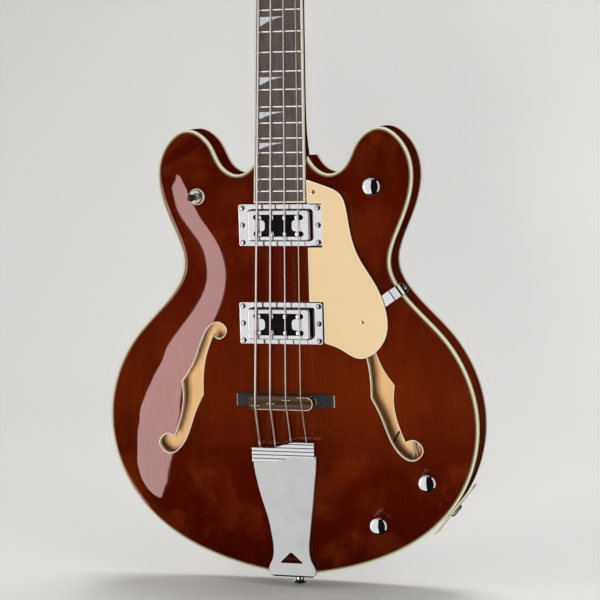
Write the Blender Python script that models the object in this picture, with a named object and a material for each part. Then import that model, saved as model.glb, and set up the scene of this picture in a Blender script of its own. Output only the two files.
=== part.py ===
"""Hollow-body electric bass guitar with two cutaways, modelled piece by piece.

Units are metres. The body is drawn in its own frame: x to the treble side, y to the back with the
rim's front edge at y = 0, and z up with the body's lower end at z = 0. The neck leans back from it.
Everything hangs from one empty, so that the place where a wall hanger holds the head is the origin.
"""

import math

import bmesh
import bpy
import numpy as np
from mathutils import Matrix, Vector
from mathutils.geometry import delaunay_2d_cdt

MM = 0.001

# Fits
GAP = 0.3 * MM          # between pieces that touch
ARCH_GAP = 0.5 * MM     # between a piece and the arched plate that it sits on
RUN_GAP = 0.4 * MM      # round a shaft that turns

# Scale and neck
SCALE = 775 * MM
FRETS = 22
NECK_ANGLE = math.radians(4.68)
HEAD_ANGLE = math.radians(11)
LAST_FRET_Z = 423.1 * MM       # above the body's lower end
LEDGE = 5.006 * MM             # wood between the board's end and the arched top
NUT_WIDTH = 42.5 * MM
BOARD_END_WIDTH = 57.5 * MM
BOARD_OVERHANG = 12.5 * MM     # past the last fret
BOARD_THICKNESS = 6 * MM
BOARD_RADIUS = 305 * MM
BOARD_BINDING = 1.6 * MM
FRET_WIDTH = 2.6 * MM
FRET_CROWN = 1.3 * MM
FRET_HEIGHT = 1.0 * MM
NUT_THICKNESS = 5 * MM
NECK_DEPTH_FIRST = 15 * MM     # wood behind the board at the nut
NECK_DEPTH_LAST = 18 * MM      # and where the heel begins
HEEL_START = 452 * MM          # from the nut
TENON_WIDTH = 40 * MM
TENON_DEPTH = 43 * MM          # behind the neck's front
TENON_LENGTH = 44 * MM         # inside the body
ROD_SIZE = 6 * MM
ROD_DEPTH = 4.2 * MM           # its front, behind the neck's front
ROD_LENGTH = 488 * MM

# Head
HEAD_LENGTH = 203 * MM
HEAD_THICKNESS = 15 * MM
HEAD_DROP = 1 * MM             # the head's face lies this far behind the neck's front
SEAT_ABOVE_NUT = 26 * MM       # where a hanger's arms carry the head

# Body
RIM_DEPTH = 44 * MM
RIM_THICKNESS = 6 * MM
PLATE = 5 * MM
TOP_ARCH = 10.5 * MM
BACK_ARCH = 9 * MM
ARCH_RUN = 115 * MM            # distance from the edge at which the arch is full
FRONT_BINDING = 3 * MM
BACK_BINDING = 2 * MM
F_BINDING = 0.9 * MM
BLOCK_WIDTH = 84 * MM

# Strings: name, diameter, place across the bridge, extra length at the saddle
STRINGS = (
    ("e", 2.67 * MM, -26.2 * MM, 13.0 * MM),
    ("a", 2.16 * MM, -9.4 * MM, 10.5 * MM),
    ("d", 1.65 * MM, 8.0 * MM, 6.5 * MM),
    ("g", 1.14 * MM, 24.6 * MM, 3.5 * MM),
)
NUT_SPREAD = 32.5 * MM         # between the outer strings at the nut
TAIL_SPREAD = 52.6 * MM
NUT_ACTION = 1.5 * MM          # under the string, over the board's plane
SADDLE_ACTION = 3.2 * MM
WINDING_TURNS = 2.25
WINDING_POINTS = 24            # to a turn
WINDING_GAP = 0.5 * MM         # between turns

# Tuners
POST_RADIUS = 5 * MM
POST_RISE = 20 * MM            # above the head's face
WINDING_TOP = 13.5 * MM        # where the string meets the post, above the face
HOUSING = (24 * MM, 30 * MM, 13 * MM)
KEY_RADIUS = 2.6 * MM
KEY_OFFSET = 8 * MM            # of the worm's line below the post's
TUNERS = (
    ("e", -1, 62 * MM, 26 * MM),
    ("a", -1, 140 * MM, 27 * MM),
    ("d", 1, 140 * MM, 27 * MM),
    ("g", 1, 62 * MM, 26 * MM),
)

# Bridge: the foot's fronts are measured from the rim's edge
BRIDGE_LENGTH = 110 * MM
BRIDGE_WIDTH = 15 * MM
BRIDGE_MIDDLE = 16.5 * MM
BRIDGE_TIP = 12.8 * MM
SADDLE_LENGTH = 75 * MM
SADDLE_WIDTH = 16.5 * MM
SADDLE_HEIGHT = 9.5 * MM
SADDLE_EDGE = 2.4 * MM
SADDLE_WIRE = (10 * MM, 1.8 * MM, 3.8 * MM)   # length, width, height of the wire under each string
WHEEL_RADIUS = 7 * MM
WHEEL_THICKNESS = 2.6 * MM
POST_SPACING = 62 * MM
BRIDGE_POST_RADIUS = 2 * MM

# Pickups
PICKUP_GAP = 1.59 * MM         # between the board's end and the neck pickup's ring
BRIDGE_PICKUP = 84.84 * MM     # its middle, above the bridge's
NECK_RING = (10.8 * MM, 7.2 * MM)      # ring's front, how far the cover stands before the ring
BRIDGE_RING = (17.0 * MM, 10.0 * MM)
RING = (94.5 * MM, 45.5 * MM)
RING_OPENING = (75 * MM, 36 * MM)
COVER = (69.5 * MM, 32.5 * MM)
COVER_DEPTH = 15 * MM
COVER_WALL = 1 * MM
COVER_SLOT = (56 * MM, 23.5 * MM, 5.6 * MM)   # width, height, height of a slot
COVER_TONGUE = 13 * MM
POLE_ROW = 8.7 * MM
POLE_RADIUS = 2.3 * MM

# Pickguard
GUARD_FRONT = 17.5 * MM
GUARD_THICKNESS = 3 * MM
GUARD_RING_GAP = 0.8 * MM      # to the pickup rings
GUARD_SCREW = (38.6 * MM, 422 * MM)
BRACKET_WIDTH = 12.5 * MM
BRACKET_THICKNESS = 1.6 * MM
BRACKET_AT = (131.0 * MM, 311.5 * MM)   # near the outline, where it crosses the binding
BRACKET_DROP = 20 * MM                  # down the rim

# Tailpiece
TAIL_SHEET = 2 * MM
TAIL_HEAD_Z = 152.5 * MM
TAIL_STEP = 6 * MM             # bass half's top edge below the treble half's
TAIL_HEAD_FRONT = 26 * MM
TAIL_HEAD_HEIGHT = 16 * MM
TAIL_RIB = 4.05 * MM
TAIL_HEAD_PLATE = 2.4 * MM
TAIL_LIP = (10 * MM, 2.5 * MM)   # depth behind the head's front, thickness
TAIL_STRING_FRONT = 21.3 * MM
TAIL_FOOT_FRONT = 5 * MM
TAIL_BEND = 3 * MM
TAIL_TAB = 37 * MM             # how far back the tab under the rim reaches

# Controls: name, x, z
KNOBS = (
    ("master_volume", 103.5 * MM, 427.5 * MM),
    ("tone", 157.5 * MM, 111.5 * MM),
    ("volume", 103.0 * MM, 63.0 * MM),
)
KNOB_RADIUS = 9.4 * MM
KNOB_HEIGHT = 16 * MM
KNOB_CLEAR = 4.6 * MM          # under the knob, over the plate
POT_CLEAR = 2.4 * MM           # over the can, under the plate, which slopes
SHAFT_RADIUS = 3 * MM
BUSH_RADIUS = 4.6 * MM
POT_RADIUS = 12 * MM
POT_DEPTH = 9 * MM
TOGGLE_AT = (-97.3 * MM, 417.0 * MM)
TOGGLE_BUSH = 5.8 * MM
TOGGLE_BORE = 4.2 * MM
LEVER_TILT = math.radians(12)

# Jack and strap buttons
JACK_AT = (178.5 * MM, 75.0 * MM)
JACK_PLATE = (68 * MM, 25 * MM, 1.6 * MM)
JACK_BORE = 3.6 * MM
JACK_BARREL = 5.8 * MM
BUTTON_RADIUS = 7 * MM
BUTTON_WAIST = 4 * MM
BUTTON_HEIGHT = 12 * MM
SCREW_RADIUS = 2 * MM
SCREW_LENGTH = 14 * MM
HEEL_BITE = 4.5 * MM           # of the heel button's screw in the neck's tongue
HEEL_BUTTON_Z = 436 * MM

# Half of the body's outline, from the lower end to the neck
BODY_HALF = [
    (0, 0), (62, 9), (118, 29.5), (164, 61.3), (196, 106), (210, 171), (203, 213),
    (177, 262), (140, 303.5), (117, 342), (127, 380), (142.5, 427), (135.5, 471),
    (107.5, 489.5), (82, 473), (68.5, 448.5), (52, 440.2), (36, 447.5), (28, 459),
]
# The treble f-hole in four runs between its corners, as traced clockwise from the front
F_HOLE = (
    [(82.5, 265), (75.3, 261.4), (66.1, 270.8), (75.3, 280.2), (85.5, 277.3), (95, 264.7),
     (102, 247.2), (109, 231.5), (121, 214.2)],
    [(121, 214.2), (119.8, 197), (122.8, 177.8), (131.6, 153)],
    [(131.6, 153), (139.8, 155.4), (150.7, 144), (139.3, 132.2), (125.5, 138.8),
     (114.6, 155.5), (105, 180.5), (95.2, 199.9)],
    [(95.2, 199.9), (94.9, 214), (91.3, 241), (82.5, 265)],
)
# The pickguard's free edge, from the neck round to the bridge pickup
GUARD_EDGE = [
    (31.5, 435.2), (54, 427.4), (68, 419.5), (74.6, 403), (78.6, 378), (87.5, 352),
    (104.5, 324), (115.2, 297), (116.8, 275), (107, 254.4), (85, 243.8), (66, 253), (47, 260),
]
# Half the head's outline, from the nut to its tip
HEAD_HALF = [(21.5, -5), (23, 8), (32, 26), (37.5, 46), (37, 80), (36, 118), (40.5, 160), (36, 188),
             (18, 200), (0, 203)]
# The tailpiece's two edges below its head: height, bass edge, treble edge
TAIL_EDGES = [
    (138, -35.6, 36.6), (126, -35.0, 35.8), (108, -32.8, 33.2), (88, -28.8, 30.2), (66, -23.4, 26.6),
    (45, -20.4, 23.2), (28, -19.8, 21.4), (17, -22.2, 23.2), (8, -26.4, 27.0), (3.4, -26.6, 27.4),
    (0.7, -25.2, 26.2),
]

FINISHES = {
    "walnut_lacquer": ((0.13, 0.014, 0.004), 0.12, 0.0),
    "pale_wood": ((0.62, 0.40, 0.19), 0.6, 0.0),
    "cream_binding": ((0.80, 0.70, 0.48), 0.35, 0.0),
    "rosewood": ((0.055, 0.035, 0.03), 0.5, 0.0),
    "ebony": ((0.02, 0.02, 0.018), 0.45, 0.0),
    "chrome": ((0.80, 0.80, 0.81), 0.08, 1.0),
    "steel": ((0.62, 0.62, 0.62), 0.25, 1.0),
    "cream_plastic": ((0.80, 0.62, 0.33), 0.25, 0.0),
    "black_plastic": ((0.012, 0.012, 0.013), 0.35, 0.0),
    "bone": ((0.80, 0.76, 0.66), 0.4, 0.0),
    "white_wire": ((0.75, 0.75, 0.72), 0.4, 0.0),
    "blue_wire": ((0.03, 0.12, 0.45), 0.4, 0.0),
}


# Curves and outlines

def spline(knots, start=None, end=None, per_span=16):
    """Points on the smooth curve through the knots, whose slope is given at an end or left free."""
    knots = np.array(knots, float)
    steps = np.linalg.norm(np.diff(knots, axis=0), axis=1)
    slopes = np.diff(knots, axis=0) / steps[:, None]
    count = len(knots)
    system = np.zeros((count, count))
    sides = np.zeros_like(knots)
    for i in range(1, count - 1):
        system[i, i - 1:i + 2] = steps[i - 1], 2 * (steps[i - 1] + steps[i]), steps[i]
        sides[i] = 6 * (slopes[i] - slopes[i - 1])
    system[0, 0] = system[-1, -1] = 1
    if start is not None:
        system[0, :2] = 2 * steps[0], steps[0]
        sides[0] = 6 * (slopes[0] - np.array(start, float))
    if end is not None:
        system[-1, -2:] = steps[-1], 2 * steps[-1]
        sides[-1] = 6 * (np.array(end, float) - slopes[-1])
    bends = np.linalg.solve(system, sides)
    points = []
    for i, step in enumerate(steps):
        for part in np.arange(per_span) / per_span:
            a, b = 1 - part, part
            curve = (a ** 3 - a) * bends[i] + (b ** 3 - b) * bends[i + 1]
            points.append(a * knots[i] + b * knots[i + 1] + step ** 2 / 6 * curve)
    points.append(knots[-1])
    return np.array(points)


def thinned(curve, turn=math.radians(10.5), longest=28 * MM):
    """The curve's points that are needed to keep each bend under turn and each chord under longest."""
    kept = [0]
    bend = 0
    for i in range(1, len(curve) - 1):
        before, after = curve[i] - curve[i - 1], curve[i + 1] - curve[i]
        cross = before[0] * after[1] - before[1] * after[0]
        bend += abs(math.atan2(cross, before @ after))
        if bend >= turn or np.linalg.norm(curve[i] - curve[kept[-1]]) >= longest:
            kept.append(i)
            bend = 0
    if np.linalg.norm(curve[-1] - curve[kept[-1]]) < 0.3 * np.linalg.norm(curve[kept[-1]] - curve[kept[-2]]):
        kept.pop()
    return curve[kept + [len(curve) - 1]]


def mirrored(half, meets_top=True):
    """A closed outline from its treble half, which starts on the centre line."""
    other = half[::-1] * (-1, 1)
    return np.vstack([half, other[1 if meets_top else 0:-1]])


def inset(loop, distance):
    """The closed outline moved inwards, or outwards where distance is below 0. It runs anticlockwise."""
    ahead = np.roll(loop, -1, axis=0) - loop
    ahead /= np.linalg.norm(ahead, axis=1)[:, None]
    behind = np.roll(ahead, 1, axis=0)
    normal = np.stack([-(ahead + behind)[:, 1], (ahead + behind)[:, 0]], axis=1)
    normal /= np.linalg.norm(normal, axis=1)[:, None]
    share = np.clip(-normal[:, 0] * ahead[:, 1] + normal[:, 1] * ahead[:, 0], 0.35, 1)
    return loop + normal * (distance / share)[:, None]


def circle(x, z, radius, count=16):
    angles = np.arange(count) * 2 * math.pi / count
    return np.stack([x + radius * np.cos(angles), z + radius * np.sin(angles)], axis=1)


def rounded_rectangle(width, height, radius, longest, corner_steps=3):
    """A rectangle about the origin with round corners, its long sides cut into short runs."""
    corners = []
    for i, (sx, sz) in enumerate(((1, 1), (-1, 1), (-1, -1), (1, -1))):
        centre = np.array((sx * (width / 2 - radius), sz * (height / 2 - radius)))
        for step in range(corner_steps + 1):
            angle = math.pi / 2 * (i + step / corner_steps)
            corners.append(centre + radius * np.array((math.cos(angle), math.sin(angle))))
    points = []
    for here, there in zip(corners, corners[1:] + corners[:1]):
        runs = max(1, math.ceil(np.linalg.norm(there - here) / longest))
        points += [here + (there - here) * run / runs for run in range(runs)]
    return np.array(points)


def body_outline():
    half = spline(np.array(BODY_HALF) * MM, start=(1, 0))
    return half, mirrored(thinned(half), meets_top=False)


BODY_CURVE, BODY_LOOP = body_outline()


def edge_distance(x, z):
    """A smooth distance from the body's edge, which equals the true one close to the edge."""
    loop = mirrored(BODY_CURVE, meets_top=False)
    ends = np.roll(loop, -1, axis=0)
    pieces = 8
    along = (np.arange(pieces) + 0.5) / pieces
    points = (loop[:, None] + (ends - loop)[:, None] * along[None, :, None]).reshape(-1, 2)
    lengths = np.repeat(np.linalg.norm(ends - loop, axis=1) / pieces, pieces)
    x, z = np.atleast_1d(x), np.atleast_1d(z)
    apart = np.hypot(x[:, None] - points[None, :, 0], z[:, None] - points[None, :, 1])
    apart = np.maximum(apart, 0.5 * MM)
    return np.sqrt(2 / (lengths / apart ** 3).sum(axis=1))


def arch(x, z):
    """How much of the arch's height a place on the plate has: 0 at the edge, 1 in the middle."""
    share = np.clip((edge_distance(x, z) - 0.5 * MM) / ARCH_RUN, 0, 1)
    return 1 - (1 - share ** 1.35) ** 2


def top_y(x, z):
    """The front face of the arched top, at one place or many."""
    found = -TOP_ARCH * arch(x, z)
    return found if np.ndim(x) else float(found[0])


def back_y(x, z):
    """The rear face of the arched back."""
    found = RIM_DEPTH + BACK_ARCH * arch(x, z)
    return found if np.ndim(x) else float(found[0])


def f_hole(side):
    """The f-hole's outline, anticlockwise seen from the front. Side is 1 for treble, -1 for bass."""
    runs = [thinned(spline(np.array(run) * MM), math.radians(22), 14 * MM)[:-1] for run in F_HOLE]
    loop = np.vstack(runs)
    area = np.cross(loop, np.roll(loop, -1, axis=0)).sum()
    loop = loop if area > 0 else loop[::-1]
    return loop if side > 0 else loop[::-1] * (-1, 1)


# Meshes

def material(finish):
    """The material of that name, made when it is first asked for."""
    made = bpy.data.materials.get(finish)
    if made:
        return made
    colour, roughness, metallic = FINISHES[finish]
    made = bpy.data.materials.new(finish)
    made.use_nodes = True
    shader = made.node_tree.nodes["Principled BSDF"]
    shader.inputs["Base Color"].default_value = (*colour, 1)
    shader.inputs["Roughness"].default_value = roughness
    shader.inputs["Metallic"].default_value = metallic
    made.diffuse_color = (*colour, 1)
    return made


def place(obj, parent, hidden=False):
    bpy.context.scene.collection.objects.link(obj)
    obj.parent = parent
    if hidden:
        obj.hide_render = True
        obj.display_type = "WIRE"
    return obj


def solid(name, bm, finish, parent, hidden=False):
    """An object from the closed mesh, its own finish on it, smooth across shallow edges only."""
    bmesh.ops.remove_doubles(bm, verts=bm.verts, dist=1e-7)
    bmesh.ops.recalc_face_normals(bm, faces=bm.faces)
    mesh = bpy.data.meshes.new(name)
    bm.to_mesh(mesh)
    bm.free()
    mesh.shade_smooth()
    mesh.set_sharp_from_angle(angle=math.radians(32))
    mesh.materials.append(material(finish))
    return place(bpy.data.objects.new(name, mesh), parent, hidden)


def loft(rings, ring_closed=False):
    """A mesh through loops of equal length. It is capped, or closed on itself like a tyre."""
    bm = bmesh.new()
    loops = [[bm.verts.new(point) for point in ring] for ring in rings]
    pairs = list(zip(loops, loops[1:]))
    if ring_closed:
        pairs.append((loops[-1], loops[0]))
    for first, second in pairs:
        for i in range(len(first)):
            j = (i + 1) % len(first)
            bm.faces.new((first[i], first[j], second[j], second[i]))
    if not ring_closed:
        bm.faces.new(loops[0])
        bm.faces.new(loops[-1])
    return bm


def at_depth(loop, y):
    """The flat outline (x, z) as points at depth y, or at a depth for each point."""
    depths = np.broadcast_to(y, len(loop))
    return [(x, depth, z) for (x, z), depth in zip(loop, depths)]


def slab(loop, front, back):
    """A plate with that outline between two depths."""
    return loft([at_depth(loop, front), at_depth(loop, back)])


def frame_of(outer, inner, outer_front, inner_front, inner_back, outer_back):
    """A ring between two outlines, with a depth for each of its four edges."""
    rings = [at_depth(outer, outer_front), at_depth(inner, inner_front)]
    rings += [at_depth(inner, inner_back), at_depth(outer, outer_back)]
    return loft(rings, ring_closed=True)


def turned(profile, segments=16):
    """A solid of revolution about Z: radius and height, from its one flat end to the other."""
    rings = []
    for radius, height in profile:
        angles = [2 * math.pi * i / segments for i in range(segments)]
        rings.append([(radius * math.cos(a), radius * math.sin(a), height) for a in angles])
    return loft(rings)


def turned_ring(profile, segments=16):
    """As turned, for a closed profile that keeps off the axis."""
    rings = []
    for radius, height in profile:
        angles = [2 * math.pi * i / segments for i in range(segments)]
        rings.append([(radius * math.cos(a), radius * math.sin(a), height) for a in angles])
    return loft(rings, ring_closed=True)


def box(low, high):
    bm = bmesh.new()
    bmesh.ops.create_cube(bm, size=1)
    low, high = Vector(low), Vector(high)
    for vert in bm.verts:
        vert.co = Vector(l + (h - l) * (c + 0.5) for l, h, c in zip(low, high, vert.co))
    return bm


def inside(point, loop):
    """Whether a flat outline goes round the point."""
    x, z = point
    ends = np.roll(loop, -1, axis=0)
    crosses = (loop[:, 1] > z) != (ends[:, 1] > z)
    with np.errstate(divide="ignore", invalid="ignore"):
        at = loop[:, 0] + (z - loop[:, 1]) * (ends[:, 0] - loop[:, 0]) / (ends[:, 1] - loop[:, 1])
    return bool((crosses & (at > x)).sum() % 2)


def sheet_points(outer, holes, spacing):
    """Places inside the plate that carry its arch: rings along the edge, then a staggered grid."""
    wanted = [inset(outer, 13 * MM)[::2], inset(outer, 32 * MM)[::3]]
    rows = np.arange(0, outer[:, 1].max(), spacing * 0.87)
    for i, z in enumerate(rows):
        reach = math.ceil(outer[:, 0].max() / spacing)
        across = (np.arange(-reach, reach + 1) + 0.5 * (i % 2)) * spacing
        wanted.append(np.stack([across, np.full(len(across), z)], axis=1))
    kept = []
    for spot in np.vstack(wanted):
        if not inside(spot, outer) or any(inside(spot, hole) for hole in holes):
            continue
        near_edge = min(np.hypot(*(loop - spot).T).min() for loop in [outer, *holes])
        near_kept = min([np.hypot(*(spot - other)) for other in kept], default=1)
        if near_edge > 9 * MM and near_kept > 0.55 * spacing:
            kept.append(spot)
    return kept


def arched_sheet(outer, holes, front, back, spacing):
    """A plate whose two faces are functions of place, with holes right through it."""
    loops = [outer, *holes]
    verts = [Vector(point) for loop in loops for point in loop]
    edges = []
    start = 0
    for loop in loops:
        edges += [(start + i, start + (i + 1) % len(loop)) for i in range(len(loop))]
        start += len(loop)
    verts += [Vector(point) for point in sheet_points(outer, holes, spacing)]
    points, _, faces, *_ = delaunay_2d_cdt(verts, edges, [], 0, 1e-9)
    points = np.array([tuple(point) for point in points])
    bm = bmesh.new()
    ahead = [bm.verts.new((x, y, z)) for (x, z), y in zip(points, front(points[:, 0], points[:, 1]))]
    behind = [bm.verts.new((x, y, z)) for (x, z), y in zip(points, back(points[:, 0], points[:, 1]))]
    used = {}
    for face in faces:
        middle = points[list(face)].mean(axis=0)
        if not inside(middle, outer) or any(inside(middle, hole) for hole in holes):
            continue
        bm.faces.new([ahead[i] for i in face])
        bm.faces.new([behind[i] for i in reversed(face)])
        for i, j in zip(face, (*face[1:], face[0])):
            used.setdefault((min(i, j), max(i, j)), []).append((i, j))
    for i, j in [uses[0] for uses in used.values() if len(uses) == 1]:
        bm.faces.new((ahead[j], ahead[i], behind[i], behind[j]))
    bmesh.ops.delete(bm, geom=[vert for vert in bm.verts if not vert.link_faces], context="VERTS")
    return bm


def cut(obj, cutter, operation="DIFFERENCE"):
    modifier = obj.modifiers.new(operation.lower(), "BOOLEAN")
    modifier.operation = operation
    modifier.object = cutter
    modifier.solver = "EXACT"


def soften(obj, width, segments=1):
    modifier = obj.modifiers.new("edges", "BEVEL")
    modifier.width = width
    modifier.segments = segments
    modifier.limit_method = "ANGLE"
    modifier.angle_limit = math.radians(40)


def empty(name, parent, location=(0, 0, 0), rotation=(0, 0, 0)):
    obj = place(bpy.data.objects.new(name, None), parent)
    obj.location = location
    obj.rotation_euler = rotation
    return obj


# The neck's frame: x across, y behind the board's crown, z up from the nut's front face

def fret_distance(number):
    return SCALE * (1 - 2 ** (-number / 12))


NECK_FRONT = BOARD_THICKNESS + GAP
BOARD_END_Z = LAST_FRET_Z - BOARD_OVERHANG * math.cos(NECK_ANGLE)
LAST_FRET_LIFT = (   # in front of the rim's edge
    LEDGE - top_y(0, BOARD_END_Z) + NECK_FRONT * math.cos(NECK_ANGLE) - BOARD_OVERHANG * math.sin(NECK_ANGLE)
)
NUT = Vector((
    0,
    -LAST_FRET_LIFT + fret_distance(FRETS) * math.sin(NECK_ANGLE),
    LAST_FRET_Z + fret_distance(FRETS) * math.cos(NECK_ANGLE),
))
NECK_FRAME = Matrix.Translation(NUT) @ Matrix.Rotation(-NECK_ANGLE, 4, "X")
HEAD_FRAME = (
    NECK_FRAME
    @ Matrix.Translation((0, NECK_FRONT + HEAD_DROP, NUT_THICKNESS + 2 * GAP))
    @ Matrix.Rotation(-HEAD_ANGLE, 4, "X")
)
SEAT = HEAD_FRAME @ Vector((0, HEAD_THICKNESS / 2, SEAT_ABOVE_NUT))
BOARD_LENGTH = fret_distance(FRETS) + BOARD_OVERHANG


def board_half_width(distance):
    """Half the board's width that far from the nut, its binding included."""
    return (NUT_WIDTH + (BOARD_END_WIDTH - NUT_WIDTH) * distance / BOARD_LENGTH) / 2


def crown_drop(x):
    return BOARD_RADIUS - math.sqrt(BOARD_RADIUS ** 2 - x * x)


def neck_point(x, y, z):
    return NECK_FRAME @ Vector((x, y, z))


def neck_y(y, height):
    """How deep a place behind the board's crown lies, at a height on the body."""
    return NUT.y + (y + (height - NUT.z) * math.sin(NECK_ANGLE)) / math.cos(NECK_ANGLE)


def joint_z():
    """Where the body's outline meets the neck."""
    return BODY_HALF[-1][1] * MM


def pickups():
    """Each pickup's name, height, ring's front and its cover's stand before that."""
    return (
        ("neck", BOARD_END_Z - PICKUP_GAP - RING[1] / 2, *NECK_RING),
        ("bridge", bridge_z() + BRIDGE_PICKUP, *BRIDGE_RING),
    )


def build_body(root):
    loop = BODY_LOOP
    inner = inset(loop, RIM_THICKNESS)
    rear = RIM_DEPTH - PLATE - GAP
    rim = solid("rim", frame_of(loop, inner, PLATE + GAP, PLATE + GAP, rear, rear), "walnut_lacquer", root)
    plate_loop = inset(loop, FRONT_BINDING + GAP)
    f_holes = [f_hole(1), f_hole(-1)]
    holes = [inset(hole, -GAP) for hole in f_holes]
    holes += [circle(x, z, BUSH_RADIUS + RUN_GAP, 12) for _, x, z in KNOBS]
    holes.append(circle(*TOGGLE_AT, TOGGLE_BUSH + RUN_GAP, 12))
    opening = rounded_rectangle(RING_OPENING[0] - 2 * MM, RING_OPENING[1] - 1 * MM, 4 * MM, 40 * MM, 2)
    holes += [opening + (string_middle(height), height) for _, height, _, _ in pickups()]
    top = arched_sheet(plate_loop, holes, top_y, lambda x, z: top_y(x, z) + PLATE, 34 * MM)
    top = solid("top_plate", top, "walnut_lacquer", root)
    back_loop = inset(loop, BACK_BINDING + GAP)
    back = arched_sheet(back_loop, [], lambda x, z: back_y(x, z) - PLATE, back_y, 40 * MM)
    solid("back_plate", back, "walnut_lacquer", root)
    binding = frame_of(loop, inset(loop, FRONT_BINDING), 0, 0, PLATE, PLATE)
    binding = solid("front_binding", binding, "cream_binding", root)
    front = RIM_DEPTH - PLATE
    rear_binding = frame_of(loop, inset(loop, BACK_BINDING), front, front, RIM_DEPTH, RIM_DEPTH)
    solid("back_binding", rear_binding, "cream_binding", root)
    for side, hole in zip(("treble", "bass"), f_holes):
        within = inset(hole, F_BINDING)
        faces = [top_y(*hole.T), top_y(*within.T), top_y(*within.T) + PLATE, top_y(*hole.T) + PLATE]
        solid(f"{side}_f_hole_binding", frame_of(hole, within, *faces), "cream_binding", root)
    block = build_centre_block(root)
    pocket = tenon_shape("tenon_pocket", root, GAP)
    for obj in (rim, top, block, binding):
        cut(obj, pocket)


def build_centre_block(root):
    """The block along the middle: it follows both plates and is routed for the two pickups."""
    half = BLOCK_WIDTH / 2
    rings = []
    for turn in np.linspace(0.03, math.pi - 0.03, 18):
        z = joint_z() * (1 - math.cos(turn)) / 2
        across = np.linspace(-half, half, 5)
        front = top_y(across, np.full(5, z)) + PLATE + 2 * ARCH_GAP
        rear = back_y(across, np.full(5, z)) - PLATE - 2 * ARCH_GAP
        ring = [(x, y, z) for x, y in zip(across, front)]
        ring += [(x, y, z) for x, y in zip(across[::-1], rear[::-1])]
        rings.append(ring)
    block = solid("centre_block", loft(rings), "pale_wood", root)
    within = slab(inset(BODY_LOOP, RIM_THICKNESS + GAP), -20 * MM, RIM_DEPTH + 20 * MM)
    cut(block, solid("inside_rim", within, "pale_wood", root, hidden=True), "INTERSECT")
    for name, height, ring_front, stand in pickups():
        depth = COVER_DEPTH - ring_front - stand + 3 * MM
        middle = string_middle(height)
        low = (middle - RING_OPENING[0] / 2, -20 * MM, height - RING_OPENING[1] / 2)
        high = (middle + RING_OPENING[0] / 2, depth, height + RING_OPENING[1] / 2)
        cut(block, solid(f"{name}_pickup_pocket", box(low, high), "pale_wood", root, hidden=True))
    return block


def tenon_shape(name, root, clearance, finish="pale_wood"):
    """The neck's tongue in the body, or the pocket that it is glued into."""
    half = TENON_WIDTH / 2 + clearance
    face = (joint_z() - NUT.z) / math.cos(NECK_ANGLE)
    low = (-half, NECK_FRONT + 1 * MM - (4 * MM if clearance else 0), face - TENON_LENGTH - clearance)
    high = (half, NECK_FRONT + TENON_DEPTH + clearance, face + 9 * MM)
    shape = solid(name, box(low, high), finish, root, hidden=True)
    shape.matrix_local = NECK_FRAME
    return shape


def neck_section(distance, depth, plane=None):
    """A D-shaped ring behind the board. With a plane, it lies in that level plane of the body's frame."""
    half = board_half_width(max(distance, 0))
    flat = [(half, NECK_FRONT), (-half, NECK_FRONT)]
    angles = [math.pi + math.pi * i / 10 for i in range(11)]
    shoulder = 2.5 * MM
    curve = []
    for angle in angles:
        across = math.copysign(abs(math.cos(angle)) ** 0.85, math.cos(angle))
        bulge = abs(math.sin(angle)) ** 0.9
        curve.append((half * across, NECK_FRONT + shoulder + (depth - shoulder) * bulge))
    ring = []
    for x, y in flat + curve:
        z = -distance
        if plane is not None:
            z = (plane - NUT.z + y * math.sin(NECK_ANGLE)) / math.cos(NECK_ANGLE)
        ring.append(neck_point(x, y, z))
    return ring


def build_neck(root):
    """Shaft, heel, tongue, the ledge under the board's end, and the head: one piece of wood."""
    face = joint_z() + GAP
    reach = (NUT.z - face) / math.cos(NECK_ANGLE)
    rings = [neck_section(-2 * MM, NECK_DEPTH_FIRST - 1 * MM)]
    for share in (0, 0.09, 0.33, 0.66, 0.88, 1):
        distance = share * HEEL_START
        rings.append(neck_section(distance, NECK_DEPTH_FIRST + share * (NECK_DEPTH_LAST - NECK_DEPTH_FIRST)))
    heel_depth = RIM_DEPTH + LAST_FRET_LIFT - NECK_FRONT - 6 * MM
    for share in (0.25, 0.5, 0.75, 0.92):
        distance = HEEL_START + share * (reach - HEEL_START)
        rise = share ** 2.2
        rings.append(neck_section(distance, NECK_DEPTH_LAST + rise * (heel_depth - NECK_DEPTH_LAST)))
    rings.append(neck_section(reach, heel_depth, plane=face))
    neck = solid("neck", loft(rings), "walnut_lacquer", root)
    cut(neck, build_ledge(root), "UNION")
    cut(neck, tenon_shape("tenon", root, 0), "UNION")
    cut(neck, build_head(root), "UNION")
    half = ROD_SIZE / 2
    front, rear = NECK_FRONT + ROD_DEPTH, NECK_FRONT + ROD_DEPTH + ROD_SIZE
    end = NUT_THICKNESS + 12 * MM
    channel = box((-half - GAP, NECK_FRONT - 1 * MM, -ROD_LENGTH - GAP),
                  (half + GAP, rear + GAP, end + 4 * MM))
    channel = solid("rod_channel", channel, "pale_wood", root, hidden=True)
    channel.matrix_local = NECK_FRAME
    cut(neck, channel)
    for name, side, height, across in TUNERS:
        drill = solid(f"{name}_post_hole",
                      turned([(POST_RADIUS + RUN_GAP, -4 * MM), (POST_RADIUS + RUN_GAP, 30 * MM)], 12),
                      "pale_wood", root, hidden=True)
        drill.matrix_local = HEAD_FRAME @ Matrix.Translation((side * across, 0, height)) @ facing_back()
        cut(neck, drill)
    rod = solid("truss_rod", box((-half, front, -ROD_LENGTH), (half, rear, end)), "steel", root)
    rod.matrix_local = NECK_FRAME
    cover = [(-9, 2), (9, 2), (8, 20), (5, 33), (0, 38), (-5, 33), (-8, 20)]
    cover = slab(np.array(cover) * MM, -1.8 * MM, -GAP)
    solid("truss_rod_cover", cover, "black_plastic", root).matrix_local = HEAD_FRAME


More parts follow.
